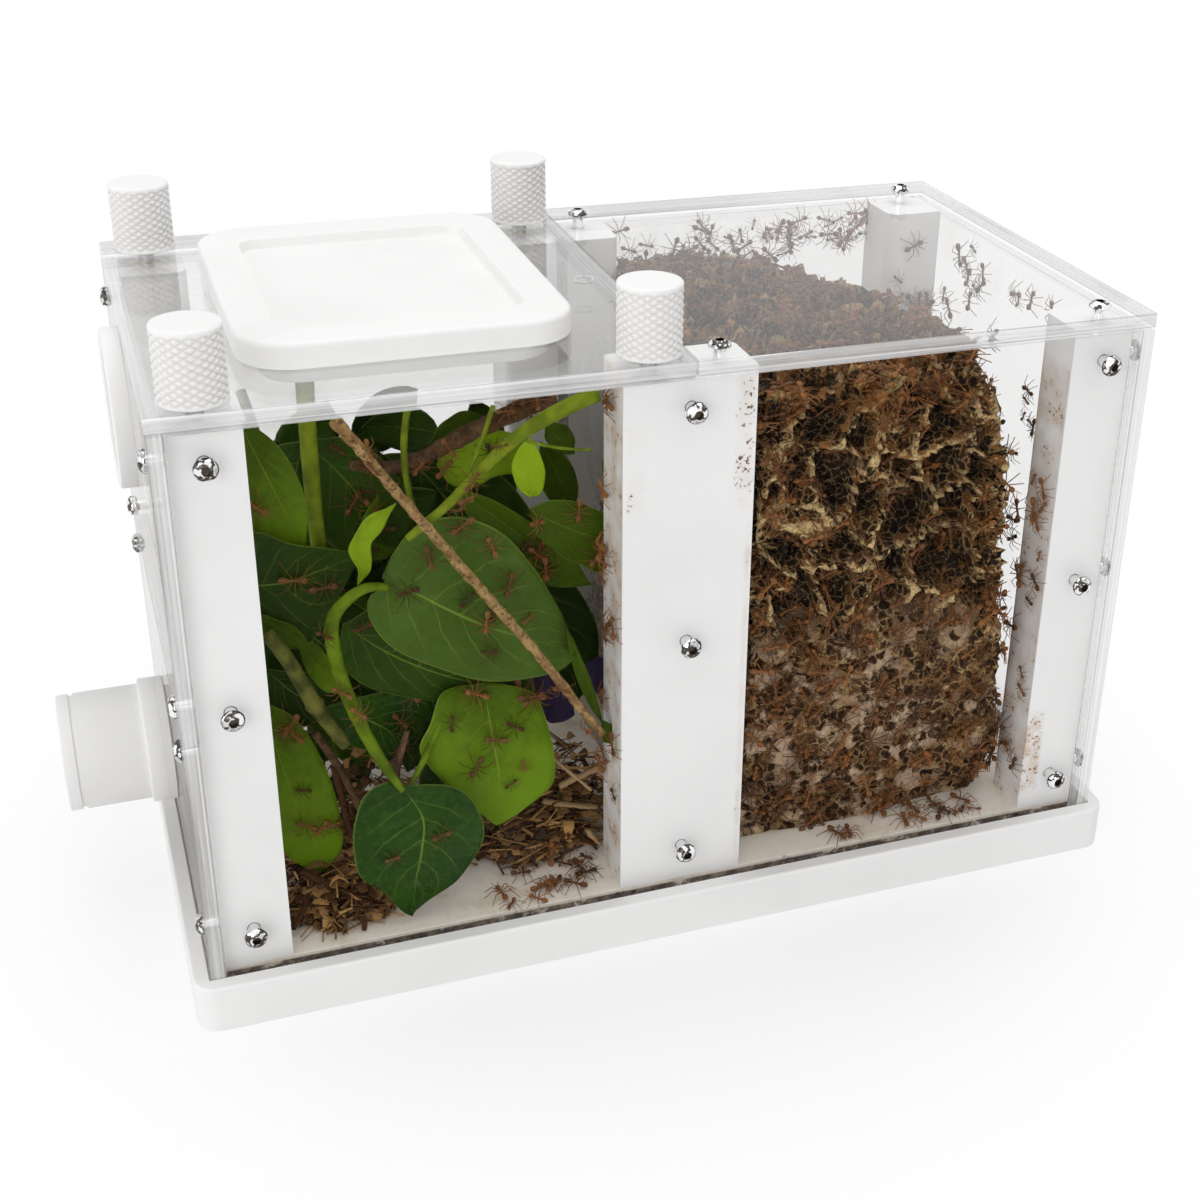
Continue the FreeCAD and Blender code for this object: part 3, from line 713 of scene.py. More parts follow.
# Leaves in mm: the depth y, the midrib as (x, z) from stalk to tip, then the points of its
# upper and lower edge after the stalk.
LEAF_SHAPES = {
    "leaf_heart": (
        -60.6,
        [(-73.2, 54.3), (-68.9, 45.2), (-69.8, 36.4), (-71.8, 26.5), (-72.7, 14.7)],
        [(-77.7, 56.5), (-83.1, 54.5), (-85.8, 47.6), (-86.8, 39), (-85.5, 31), (-79.5, 23.7),
         (-75.5, 17.4), (-72.7, 14.7)],
        [(-68.4, 54.5), (-61.6, 52.7), (-56.4, 48.2), (-53.5, 40.6), (-54.4, 33), (-59.9, 25),
         (-67.2, 20.1), (-72.7, 14.7)],
    ),
    "leaf_oval_front": (
        -51,
        [(-73.1, 107.5), (-66.6, 104.2), (-58.6, 98.6), (-49.4, 92.7), (-37.7, 86.6),
         (-25.9, 81.2)],
        [(-70, 113.8), (-63.8, 120.4), (-54.1, 121.9), (-44.5, 117), (-36.3, 106.4), (-30, 94.3),
         (-27, 87.2), (-25.9, 81.2)],
        [(-77.5, 105.4), (-77.7, 99.7), (-72.9, 92), (-62.8, 84.9), (-49.8, 78.8), (-37.3, 76.8),
         (-29.6, 77.9), (-25.9, 81.2)],
    ),
    "leaf_oval_behind": (
        -45,
        [(-82.8, 94.6), (-73.5, 85.9), (-61.3, 77.8), (-48.5, 71.8), (-34.2, 67.3)],
        [(-72.8, 98.7), (-58.5, 92.9), (-44.9, 82.2), (-34.2, 67.3)],
        [(-84, 84.2), (-77.7, 76.5), (-64.8, 70.6), (-50.8, 68.2), (-40.9, 67.3), (-34.2, 67.3)],
    ),
    "leaf_lower_dark": (
        -42,
        [(-88, 70), (-79.4, 65.6), (-72.7, 60.2), (-69.4, 51.9)],
        [(-75.8, 72.6), (-63, 71.5), (-61.1, 64.9), (-64.7, 58), (-69.4, 51.9)],
        [(-86.7, 63.5), (-80.9, 57.4), (-74.1, 54.2), (-69.4, 51.9)],
    ),
    "leaf_lower_middle": (
        -50,
        [(-48.8, 73.2), (-47.9, 59.6), (-46.6, 45.2), (-47.3, 30.6)],
        [(-59.9, 73.6), (-63.9, 66.4), (-67.1, 59.5), (-61.4, 48.9), (-54.1, 39), (-47.3, 30.6)],
        [(-37.2, 70.3), (-33.9, 63.2), (-31.9, 50), (-32.8, 41.7), (-40.7, 34.8), (-47.3, 30.6)],
    ),
    "leaf_lower_left": (
        -43,
        [(-103.3, 74), (-101.3, 60.8), (-98.3, 46.4), (-95, 32.8), (-92.1, 21.5)],
        [(-107.6, 63.3), (-107.8, 45.8), (-103.1, 32.6), (-97.8, 24.8), (-92.1, 21.5)],
        [(-96.5, 69.5), (-90.9, 57.5), (-87.6, 42.8), (-87.2, 29.7), (-92.1, 21.5)],
    ),
    "leaf_pointed": (
        -42,
        [(-108.8, 107.5), (-96, 106.9), (-86.9, 109.2), (-76.4, 112.3)],
        [(-106.6, 118.3), (-101.7, 121.4), (-93.2, 117.4), (-84.5, 114.5), (-76.4, 112.3)],
        [(-108, 99.5), (-99.9, 95.8), (-91.8, 89.8), (-85.9, 96.4), (-81.1, 105.2),
         (-76.4, 112.3)],
    ),
    "leaf_upper_left": (
        -38,
        [(-102.7, 148.6), (-97.2, 133.6), (-90, 112.8)],
        [(-108.3, 138.3), (-106.9, 123), (-98.9, 113), (-90, 112.8)],
        [(-95.5, 143), (-90.6, 133.9), (-88.5, 122.7), (-90, 112.8)],
    ),
    "leaf_right_upper": (
        -41.5,
        [(-34.3, 117.2), (-23.7, 110.8), (-8.7, 103.7)],
        [(-28.5, 119.7), (-19.3, 117), (-11, 111.1), (-8.7, 103.7)],
        [(-31.9, 109.4), (-23.8, 102.3), (-14.3, 97.3), (-8.7, 103.7)],
    ),
    "leaf_right_long": (
        -37.5,
        [(-52.2, 124), (-42.1, 114.8), (-30.4, 103.8), (-17, 91.9)],
        [(-42, 119.4), (-32.4, 111.8), (-22.6, 101.5), (-17, 91.9)],
        [(-48.5, 114.6), (-39.1, 103.9), (-29.4, 94), (-17, 91.9)],
    ),
    "leaf_top": (
        -24.8,
        [(-29.2, 128.7), (-38.5, 126.2), (-47.2, 125), (-53.8, 125.3)],
        [(-38.3, 133.3), (-46.9, 132.4), (-51.8, 129.6), (-53.8, 125.3)],
        [(-31.5, 121.3), (-39.8, 120.3), (-45.3, 118.3), (-50.6, 119.7), (-53.8, 125.3)],
    ),
    "leaf_top_small": (
        -36,
        [(-32.1, 134.5), (-33, 126.7), (-32.4, 118.4)],
        [(-35.9, 131.6), (-37.3, 126.7), (-35.6, 121.1), (-32.4, 118.4)],
        [(-29.8, 129.7), (-28.8, 123.3), (-30.2, 119.3), (-32.4, 118.4)],
    ),
    "leaf_back_left": (
        -21.5,
        [(-85.8, 134.1), (-76.3, 122.8), (-63.6, 102.3)],
        [(-73.5, 133.7), (-62.7, 121), (-61.1, 110.3), (-63.6, 102.3)],
        [(-88.7, 122.1), (-83.4, 108.8), (-73.4, 100.2), (-63.6, 102.3)],
    ),
    "leaf_back_middle": (
        -16,
        [(-59.2, 125.2), (-46.9, 105.8), (-38.7, 76)],
        [(-39.7, 120.4), (-26.6, 103), (-28, 87), (-38.7, 76)],
        [(-64.3, 108.3), (-60.9, 89.6), (-50.2, 77.8), (-38.7, 76)],
    ),
    "leaf_back_right": (
        -10,
        [(-45.9, 91.9), (-27.9, 71.1), (-14.9, 37.7)],
        [(-22.8, 88.4), (-8.6, 68), (-7.4, 48.9), (-14.9, 37.7)],
        [(-48.9, 74.6), (-40.2, 54.7), (-27.3, 40.1), (-14.9, 37.7)],
    ),
    "leaf_back_low": (
        -27.5,
        [(-98, 93.9), (-85.4, 79.8), (-69.4, 56.8)],
        [(-83.3, 95.1), (-68.1, 81.8), (-64.5, 66.1), (-69.4, 56.8)],
        [(-101.4, 77.6), (-94.1, 62.7), (-80.6, 53.8), (-69.4, 56.8)],
    ),
    "flower_petal": (
        -43.9,
        [(-35.4, 72.3), (-29.9, 65.3), (-23.9, 57.8)],
        [(-29.3, 71.5), (-24.2, 63), (-23.9, 57.8)],
        [(-34.4, 64.8), (-30, 55.7), (-23.9, 57.8)],
    ),
}

SMALL_LEAF_SHAPES = {
    "top_dark": (
        -22.5,
        [(-40.1, 135.2), (-47.4, 133.8), (-55.2, 130.5)],
        [(-44.6, 138.1), (-50.5, 136.8), (-55.2, 130.5)],
        [(-42.1, 130.9), (-48.7, 128.3), (-55.2, 130.5)],
    ),
    "twist": (
        -46,
        [(-68.4, 125.7), (-75.3, 121.7), (-78, 114.8), (-77, 110.2), (-79, 105.7)],
        [(-74.7, 123.8), (-78.7, 119.9), (-80.6, 115.2), (-78.7, 109.9), (-79, 105.7)],
        [(-71.3, 121.1), (-74.9, 116.6), (-75.3, 112.2), (-76.1, 108.3), (-79, 105.7)],
    ),
    "strip_left": (
        -40,
        [(-93.5, 89.6), (-89, 81.1), (-83, 72.2)],
        [(-89.5, 88.4), (-85.2, 80.5), (-83, 72.2)],
        [(-92.1, 81.1), (-87.9, 74.3), (-83, 72.2)],
    ),
    "small_left": (
        -44,
        [(-103.8, 100.4), (-98.2, 96), (-91.1, 89.6)],
        [(-98, 98.3), (-93.3, 94.6), (-91.1, 89.6)],
        [(-101.9, 93.7), (-96.7, 90), (-91.1, 89.6)],
    ),
    "right_dark": (
        -24,
        [(-25, 132.9), (-21.7, 128.4), (-17.5, 123.5)],
        [(-20, 132.3), (-17.5, 127.9), (-17.5, 123.5)],
        [(-25.3, 128.9), (-22.3, 124.8), (-17.5, 123.5)],
    ),
    "right_edge": (
        -27,
        [(-8.1, 126.8), (-8.6, 117.5), (-7.8, 106.5)],
        [(-10.6, 122.4), (-10.6, 112.9), (-7.8, 106.5)],
        [(-5.8, 120.7), (-5.7, 112.3), (-7.8, 106.5)],
    ),
    "slender": (
        -52.5,
        [(-28.1, 88.8), (-23.7, 75.3), (-18.5, 57.9)],
        [(-25.6, 82.9), (-21.2, 69.8), (-18.5, 57.9)],
        [(-27, 78.3), (-23.1, 66.4), (-18.5, 57.9)],
    ),
    "cut_tip": (
        -55,
        [(-19.7, 60.9), (-18.2, 56.8), (-15.1, 55.2)],
        [(-16.8, 59.7), (-15.1, 55.2)],
        [(-20.2, 56.2), (-17.4, 53.8), (-15.1, 55.2)],
    ),
    "mid_fill": (
        -38.5,
        [(-60.3, 65.9), (-66.1, 58.8), (-67.6, 49.5)],
        [(-66.8, 66.5), (-71.1, 57.2), (-67.6, 49.5)],
        [(-59.5, 57.5), (-63.2, 50.5), (-67.6, 49.5)],
    ),
    "back_top": (
        -14,
        [(-23.4, 123.4), (-19, 113.3), (-14.4, 102.9)],
        [(-17.2, 119.1), (-13.8, 111.4), (-14.4, 102.9)],
        [(-24.7, 114), (-20.2, 104.9), (-14.4, 102.9)],
    ),
    "low_left_dark": (
        -35,
        [(-101.3, 79.3), (-93.6, 70.7), (-81.4, 63.4)],
        [(-92.1, 77.7), (-85.1, 71.6), (-81.4, 63.4)],
        [(-102.6, 69.8), (-94.3, 62.1), (-81.4, 63.4)],
    ),
    "petal_right": (
        -43,
        [(-20.8, 70.8), (-17.1, 68.8), (-12.4, 66.5)],
        [(-17.6, 73.3), (-12.5, 73.7)],
        [(-18.2, 63.7), (-12.4, 59.6)],
    ),
}


def smooth_line(points, count):
    """Points evenly along a smooth line through the ones given."""
    knots = [Vector((x, 0, z)) * MM for x, z in points]
    steps = [0.0]
    for first, second in zip(knots[:-1], knots[1:]):
        steps.append(steps[-1] + (second - first).length)
    slopes = []
    for index in range(len(knots)):
        before, after = max(index - 1, 0), min(index + 1, len(knots) - 1)
        slopes.append((knots[after] - knots[before]) / (steps[after] - steps[before]))
    found = []
    segment = 0
    for number in range(count + 1):
        reach = steps[-1] * number / count
        while segment < len(knots) - 2 and reach > steps[segment + 1]:
            segment += 1
        span = steps[segment + 1] - steps[segment]
        t = (reach - steps[segment]) / span
        start, end = slopes[segment] * span, slopes[segment + 1] * span
        found.append(
            knots[segment] * (2 * t ** 3 - 3 * t ** 2 + 1) + start * (t ** 3 - 2 * t ** 2 + t)
            + knots[segment + 1] * (3 * t ** 2 - 2 * t ** 3) + end * (t ** 3 - t ** 2)
        )
    return found


LEAF_STEPS = 36


def blade_grid(bm, along, across):
    """A unit grid with its UV map along and across the blade."""
    uv = bm.loops.layers.uv.new("blade")
    grid = bmesh.ops.create_grid(bm, x_segments=along, y_segments=across, size=0.5)["verts"]
    for face in bm.faces:
        for loop in face.loops:
            loop[uv].uv = (loop.vert.co.x + 0.5, loop.vert.co.y + 0.5)
    return grid


def thicken(bm, thick=0.3 * MM):
    """Makes a bent blade that faces Y a closed sheet."""
    bmesh.ops.remove_doubles(bm, verts=bm.verts, dist=MERGE)
    sheet = bm.faces[:]
    grown = bmesh.ops.extrude_face_region(bm, geom=sheet)["geom"]
    bmesh.ops.translate(bm, vec=(0, thick, 0), verts=points_of(grown))
    face_outwards(bm)
    settle(bm, bm.faces[2 * len(sheet):])


def make_blade(name, shape, finish, slot, stands_for=(), fold=1.0, curl=1.2, ripple=0.4,
               cup=0.8, shade=0.0, lean=0.0):
    """A leaf: a grid drawn between its midrib and edges, then folded, curled and thickened."""
    depth, middle, upper, lower = shape
    rib = smooth_line(middle, LEAF_STEPS)
    sides = {-1: smooth_line(middle[:1] + lower, LEAF_STEPS),
             1: smooth_line(middle[:1] + upper, LEAF_STEPS)}
    bm = bmesh.new()
    tone = bm.verts.layers.float.new("shade")
    for vert in blade_grid(bm, LEAF_STEPS, 16):
        u, v = vert.co.x + 0.5, vert.co.y * 2
        step = round(u * LEAF_STEPS)
        edge = sides[1 if v > 0 else -1][step]
        place = rib[step].lerp(edge, abs(v))
        out = fold * (abs(v) ** 1.3 - 0.4) * math.sin(math.pi * min(u * 0.9 + 0.08, 1.0))
        out += curl * (math.sin(math.pi * u) - 0.5)
        out += cup * (u - 0.5) + lean * v
        out += ripple * math.sin(u * 17.0 + depth + v * 2) * v * v
        out += 0.18 * math.sin((u * 9.0 - abs(v) * 1.6) * 2 * math.pi) * abs(v) * (1 - abs(v))
        vert[tone] = shade
        vert.co = Vector((place.x, depth * MM - out * MM, place.z))
    thicken(bm)
    return put(name, bm, finish, ROOT, stands_for)


# ---------------------------------------------------------------- settings


class HabitatSizes(bpy.types.PropertyGroup):
    knurl_depth: bpy.props.FloatProperty(
        name="Knurl Depth", description="Depth of the diamond knurl on the knobs",
        default=0.55 * MM, min=0.0, unit="LENGTH",
    )
    knurl_starts: bpy.props.IntProperty(
        name="Knurl Starts", description="Helical grooves each way round a knob",
        default=16, min=3,
    )
    knurl_lead: bpy.props.FloatProperty(
        name="Knurl Lead", description="Rise of one groove in a full turn",
        default=29.6 * MM, unit="LENGTH",
    )
    screw_head: bpy.props.FloatProperty(
        name="Screw Head", description="Diameter of a button head", default=5.7 * MM, min=0.0,
        unit="LENGTH",
    )
    screw_dome: bpy.props.FloatProperty(
        name="Screw Dome", description="Height of a button head", default=1.65 * MM, min=0.0,
        unit="LENGTH",
    )
    lid_edge: bpy.props.FloatProperty(
        name="Lid Edge", description="Rounding of the feeding lid's top edge",
        default=1.3 * MM, unit="LENGTH",
    )
    comb_voxel: bpy.props.FloatProperty(
        name="Comb Detail", description="Mesh size of the fungus comb",
        default=1.05 * MM, unit="LENGTH",
    )
    comb_depth: bpy.props.FloatProperty(
        name="Cave Depth", description="Depth of the caves in the fungus comb",
        default=8.0 * MM, unit="LENGTH",
    )
    ant_length: bpy.props.FloatProperty(
        name="Ant Length", description="Body length of a middling worker",
        default=6.6 * MM, unit="LENGTH",
    )
    comb_ants: bpy.props.IntProperty(
        name="Comb Ants", description="Workers on the fungus comb", default=400, min=0,
    )


class HabitatColours(bpy.types.PropertyGroup):
    plastic: bpy.props.FloatVectorProperty(
        name="Plastic", description="Tray, posts, knobs, lid and fittings",
        default=(0.87, 0.862, 0.85), subtype="COLOR", min=0, max=1,
    )
    leaf_deep: bpy.props.FloatVectorProperty(
        name="Dark Leaf", description="Older leaves", default=(0.014, 0.033, 0.0022),
        subtype="COLOR", min=0, max=1,
    )
    leaf_light: bpy.props.FloatVectorProperty(
        name="Bright Leaf", description="Full-grown leaves", default=(0.062, 0.112, 0.003),
        subtype="COLOR", min=0, max=1,
    )
    leaf_lime: bpy.props.FloatVectorProperty(
        name="Young Leaf", description="Young leaves and tips", default=(0.17, 0.27, 0.006),
        subtype="COLOR", min=0, max=1,
    )
    stem: bpy.props.FloatVectorProperty(
        name="Stem", description="Green stems", default=(0.125, 0.2, 0.008),
        subtype="COLOR", min=0, max=1,
    )
    comb_ridge: bpy.props.FloatVectorProperty(
        name="Comb Ridge", description="Cream ridges of the fungus comb",
        default=(0.62, 0.44, 0.21), subtype="COLOR", min=0, max=1,
    )
    comb_rust: bpy.props.FloatVectorProperty(
        name="Comb Rust", description="Rust-brown body of the fungus comb",
        default=(0.2, 0.08, 0.022), subtype="COLOR", min=0, max=1,
    )
    ant: bpy.props.FloatVectorProperty(
        name="Ant", description="Workers", default=(0.175, 0.07, 0.02),
        subtype="COLOR", min=0, max=1,
    )


def sizes():
    return bpy.context.scene.habitat_sizes


def colours():
    return bpy.context.scene.habitat_colours


def tint(name):
    return tuple(getattr(colours(), name))


def paint_node(node, finish):
    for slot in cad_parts[node].material_slots:
        slot.material = finish


# ---------------------------------------------------------------- operators


class HABITAT_OT_casework(bpy.types.Operator):
    """Give the tray, posts and hardware their finishes"""

    bl_idname = "habitat.casework"
    bl_label = "Casework Finishes"

    def execute(self, context):
        plain = white_plastic("white_plastic", tint("plastic"))
        specks = (
            ((11, -70, 118), (17.2, -60, 159), 1.0, 0.3),
            ((14.5, -70, 14), (17.4, -60, 120), 0.5, 0.5),
            ((-16.8, -70, 120), (-10, -60, 150), 0.15, 0.1),
            ((102, -70, 16), (110, -62, 46), 1.7, 1.3),
            # the posts' inner sides: brown stain, partly real and partly painted shade where the
            # leaves and comb shadow them
            ((-20, -62.9, 6), (-15, -40, 168), 0.7, 0.75),
            ((101, -62.9, 6), (106, -40, 150), 0.7, 0.6),
        )
        posts = white_plastic("post_plastic", tint("plastic"), specks)
        paint_node("base_tray", plain)
        for side in ("front", "back"):
            for place in ("left", "middle", "right"):
                paint_node(f"post_{side}_{place}", posts)
        steel = polished_metal("steel", (0.55, 0.55, 0.56), 0.28, 0.8)
        brass = polished_metal("brass", (0.72, 0.5, 0.2), 0.25, 0.8)
        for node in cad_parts:
            if node.startswith("thumb_stud"):
                paint_node(node, steel)
        paint_node("thumb_inserts", brass)
        return {"FINISHED"}


def trim_sheet(node, finish, body=ROOT, gap=0.04 * MM, bevel=0.3 * MM):
    """A sheet as it is cut: a hair clear of its neighbours, with its outer edges eased."""
    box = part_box(node)

    def walls(vert):
        """The faces of the box that a point lies on, as axis and end."""
        return {(axis, end) for axis in range(3) for end in (0, 1)
                if abs(vert.co[axis] - box[end][axis]) < TOUCH}

    bm = merged_copy(node)
    bmesh.ops.dissolve_limit(bm, angle_limit=math.radians(1), verts=bm.verts, edges=bm.edges)
    outline = [edge for edge in bm.edges
               if len(walls(edge.verts[0]) & walls(edge.verts[1])) >= 2]
    rim = bm.verts.layers.float.new("rim")
    for vert in bm.verts:
        touched = walls(vert)
        for axis, end in touched:
            vert.co[axis] += -gap if end else gap
        vert[rim] = 1.0 if len(touched) == 1 else 0.0
    bmesh.ops.bevel(bm, geom=outline, offset=bevel, offset_type="OFFSET", affect="EDGES",
                    segments=2, profile=0.5, material=-1, clamp_overlap=True)
    made = put(node + "_sheet", bm, finish, body, (node,))
    sharpen(made, 20.0)


class HABITAT_OT_sheets(bpy.types.Operator):
    """Ease the edges of the clear sheets and polish them"""

    bl_idname = "habitat.sheets"
    bl_label = "Clear Sheets"

    def execute(self, context):
        # warm grey layer on the back and end sheets: partly the sheets' tint and dirt, partly
        # painted shade of the object's shadow on the backdrop
        film_tint_and_shade = (0.54, 0.48, 0.42)
        wide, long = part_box("back_panel")[1].y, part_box("right_end_panel")[1].x
        front = clear_sheet("acrylic_front", "Y", wide, shine=0.02, dirt=0.12)
        back = clear_sheet("acrylic_back", "Y", wide, haze=0.2, shine=0.5, film_tint_and_shade=film_tint_and_shade)
        end = clear_sheet("acrylic_end", "X", long, haze=0.1, shine=0.5, film_tint_and_shade=film_tint_and_shade)
        level = clear_sheet("acrylic_top", "Z", PLATE_TOP, shine=0.6)
        cover = clear_sheet("acrylic_cover", "Z", PLATE_TOP, haze=0.15, dirt=3.0)
        trim_sheet("front_panel", front)
        trim_sheet("back_panel", back)
        for node in ("right_end_panel", "vent_end_panel", "port_end_panel", "divider_panel"):
            trim_sheet(node, end)
        trim_sheet("nest_top_plate", level)
        trim_sheet("forage_top_plate", cover, COVER)
        trim_sheet("floor_plate", dirty_floor_sheet("acrylic_floor"), bevel=0.2 * MM)
        self.ring_mark(cover)
        return {"FINISHED"}

    def ring_mark(self, finish):
        """The small raised ring to the right of the lid."""
        rows = [(2.2, 0.0), (2.25, 0.35), (2.75, 0.35), (2.8, 0.0), (2.2, 0.0)]
        bm = bmesh.new()
        turned(bm, [(r * MM, h * MM) for r, h in rows], (-7.9 * MM, -1.2 * MM, PLATE_TOP),
               (0, 0, 1), steps=48)
        put("cover_ring_mark", bm, finish, COVER)


class HABITAT_OT_screws(bpy.types.Operator):
    """Turn the domed button heads of the screws, with a hex socket in each"""

    bl_idname = "habitat.screws"
    bl_label = "Button-Head Screws"

    def execute(self, context):
        finish = chrome_with_painted_reflections("chrome")
        groups = {
            "front_screws": (0, -1, 0), "back_screws": (0, 1, 0), "nest_top_screws": (0, 0, 1),
            "left_end_screws": (-1, 0, 0), "right_end_screws": (1, 0, 0),
        }
        for node, outward in groups.items():
            bm = bmesh.new()
            marks = [bm.verts.layers.float.new(key) for key in ("socket", "shank")]
            for low, high in self.places(node):
                self.screw(bm, marks, low, high, Vector(outward))
            made = put(node + "_domed", bm, finish, ROOT, (node,))
            sharpen(made, 40.0)
        return {"FINISHED"}

    def places(self, node):
        """The box of each screw that shares the node."""
        bm = merged_copy(node)
        left = set(bm.verts)
        boxes = []
        while left:
            start = min(left, key=lambda vert: vert.index)
            island, queue = {start}, [start]
            while queue:
                for edge in queue.pop().link_edges:
                    for vert in edge.verts:
                        if vert not in island:
                            island.add(vert)
                            queue.append(vert)
            left -= island
            boxes.append([
                Vector([pick(vert.co[axis] for vert in island) for axis in range(3)])
                for pick in (min, max)
            ])
        bm.free()
        return boxes

    def screw(self, bm, marks, low, high, outward):
        """One screw in its box: dome and socket from the head's top, shank to the other end."""
        axis = [index for index in range(3) if outward[index]][0]
        middle = (low + high) / 2
        top = middle.copy()
        top[axis] = high[axis] if outward[axis] > 0 else low[axis]
        length = high[axis] - low[axis]
        head, tall = sizes().screw_head / 2, sizes().screw_dome
        socket, shank, skirt, hair = 1.15 * MM, 1.5 * MM, 0.12 * MM, 0.01 * MM
        socket_floor = -1.0 * MM
        dome_arc, dome_steps = math.radians(62), 7
        rows = [(0.0, -length), (shank, -length), (shank, -tall), (head - 0.1 * MM, -tall),
                (head, -tall + skirt)]
        for step in range(1, dome_steps + 1):
            turn = dome_arc * step / dome_steps
            rise = (tall - skirt) * math.sin(turn) / math.sin(dome_arc)
            rows.append((head * math.cos(turn), -tall + skirt + rise))
        rows += [(socket + 0.08 * MM, 0.0), (socket, -0.06 * MM), (socket, socket_floor),
                 (0.0, socket_floor - 0.15 * MM)]
        one = bmesh.new()
        turned(one, rows, (0, 0, 0), (0, 0, 1), 24)
        for vert in one.verts:
            across = Vector((vert.co.x, vert.co.y, 0))
            if abs(across.length - socket) < 2 * hair and vert.co.z > socket_floor - 5 * hair:
                turn = math.atan2(across.y, across.x) % (math.pi / 3) - math.pi / 6
                vert.co -= across * (1 - math.cos(math.pi / 6) / math.cos(turn))
        worker = bpy.data.meshes.new("screw")
        one.to_mesh(worker)
        one.free()
        made = add_copy(bm, worker)
        bpy.data.meshes.remove(worker)
        for vert in made:
            reach, height = math.hypot(vert.co.x, vert.co.y), vert.co.z
            in_socket = reach < socket + 2 * hair and -1.3 * MM < height < -3 * hair
            below_head = height < -tall - hair
            head_root = height < -tall + hair and reach < shank + 0.1 * MM
            # the socket mark is where the chrome is painted dark as shade
            vert[marks[0]] = float(in_socket)
            vert[marks[1]] = float(below_head or head_root)
        face = outward.to_track_quat("Z", "Y").to_matrix().to_4x4()
        bmesh.ops.transform(bm, matrix=Matrix.Translation(top) @ face, verts=made)


class HABITAT_OT_knobs(bpy.types.Operator):
    """Knurl the four thumb-screw knobs"""

    bl_idname = "habitat.knobs"
    bl_label = "Knurled Knobs"

    def execute(self, context):
        finish = white_plastic("knob_plastic", tint("plastic"))
        for place in KNOB_PLACES:
            self.knob("thumb_knob_" + place, "thumb_screw_" + place, finish)
        return {"FINISHED"}

    def knob(self, node, body, finish):
        """One knob, turned and then cut by helical grooves that run both ways."""
        low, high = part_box(node)
        centre = Vector(((low.x + high.x) / 2, (low.y + high.y) / 2, low.z))
        radius = (high.x - low.x) / 2
        tall = high.z - low.z
        rim, soft, knurl_rows = 1.1 * MM, 0.5 * MM, 96
        rows = [(0.0, 0.0), (radius - 0.5 * MM, 0.0), (radius - 0.15 * MM, 0.15 * MM)]
        rows += [(radius, rim * 0.4 + (tall - 1.4 * rim) * row / knurl_rows)
                 for row in range(knurl_rows + 1)]
        rows += [(radius - 0.05 * MM, tall - 0.5 * MM), (radius - 0.25 * MM, tall - 0.18 * MM),
                 (radius - 0.7 * MM, tall), (radius - 1.4 * MM, tall), (0.0, tall)]
        bm = bmesh.new()
        groove = bm.verts.layers.float.new("groove")
        turned(bm, rows, centre, (0, 0, 1), steps=144)
        lead, starts = sizes().knurl_lead, sizes().knurl_starts
        for vert in bm.verts:
            out = Vector((vert.co.x - centre.x, vert.co.y - centre.y, 0))
            height = vert.co.z - centre.z
            if out.length < radius - 0.02 * MM:
                continue
            turn = math.atan2(out.y, out.x) / (2 * math.pi)
            left = abs(math.sin(math.pi * starts * (turn + height / lead)))
            right = abs(math.sin(math.pi * starts * (turn - height / lead)))
            pillow = min(left, right) ** 0.7
            fade = clamp((tall - rim * 0.9 - height) / soft) * clamp((height - soft) / soft)
            cut = (1 - pillow) * fade
            vert.co -= out.normalized() * (sizes().knurl_depth * cut)
            # the cut depth is also kept to paint shade in the grooves
            vert[groove] = cut
        made = put(node + "_knurled", bm, finish, body, (node,))
        sharpen(made, 60.0)


class HABITAT_OT_lid(bpy.types.Operator):
    """Make the recessed feeding lid with its plug skirt"""

    bl_idname = "habitat.lid"
    bl_label = "Feeding Lid"

    def execute(self, context):
        low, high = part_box("feeding_lid")
        centre = ((low.x + high.x) / 2, (low.y + high.y) / 2)
        length, width = high.x - low.x, high.y - low.y
        base, top = PLATE_TOP, high.z
        edge = sizes().lid_edge
        corner = 13 * MM
        plug_l, plug_w, plug_r = 69.4 * MM, 85.4 * MM, 9.7 * MM
        wall = 2.6 * MM
        dish_l, dish_w, dish_r, dish_d = 58 * MM, 70 * MM, 4.5 * MM, 2.6 * MM
        rows = [
            (plug_l - 2 * wall, plug_w - 2 * wall, plug_r - wall, base + 0.3 * MM),
            (plug_l - 2 * wall, plug_w - 2 * wall, plug_r - wall, low.z + 0.3 * MM),
            (plug_l - 2 * wall + 0.6 * MM, plug_w - 2 * wall + 0.6 * MM, plug_r - wall, low.z),
            (plug_l - 0.6 * MM, plug_w - 0.6 * MM, plug_r, low.z),
            (plug_l, plug_w, plug_r, low.z + 0.4 * MM),
            (plug_l, plug_w, plug_r, base),
            (length - 0.8 * MM, width - 0.8 * MM, corner, base),
            (length, width, corner, base + 0.4 * MM),
        ]
        for step in range(7):
            turn = math.pi / 2 * step / 6
            pull = 2 * edge * (1 - math.cos(turn))
            rows.append((length - pull, width - pull, corner - pull / 2,
                         top - edge + edge * math.sin(turn)))
        slope = 1.0 * MM
        for step in range(9):
            t = step / 8
            spread = 2 * slope * (1 - t)
            rows.append((dish_l + spread, dish_w + spread, dish_r + spread / 2,
                         top - dish_d * ease(0, 1, t)))
        bm = bmesh.new()
        stacked_loops(bm, centre, rows)
        finish = white_plastic("lid_plastic", tint("plastic"))
        made = put("feeding_lid_moulded", bm, finish, "feeding_lid",
                   ("feeding_lid",))
        sharpen(made, 40.0)
        return {"FINISHED"}


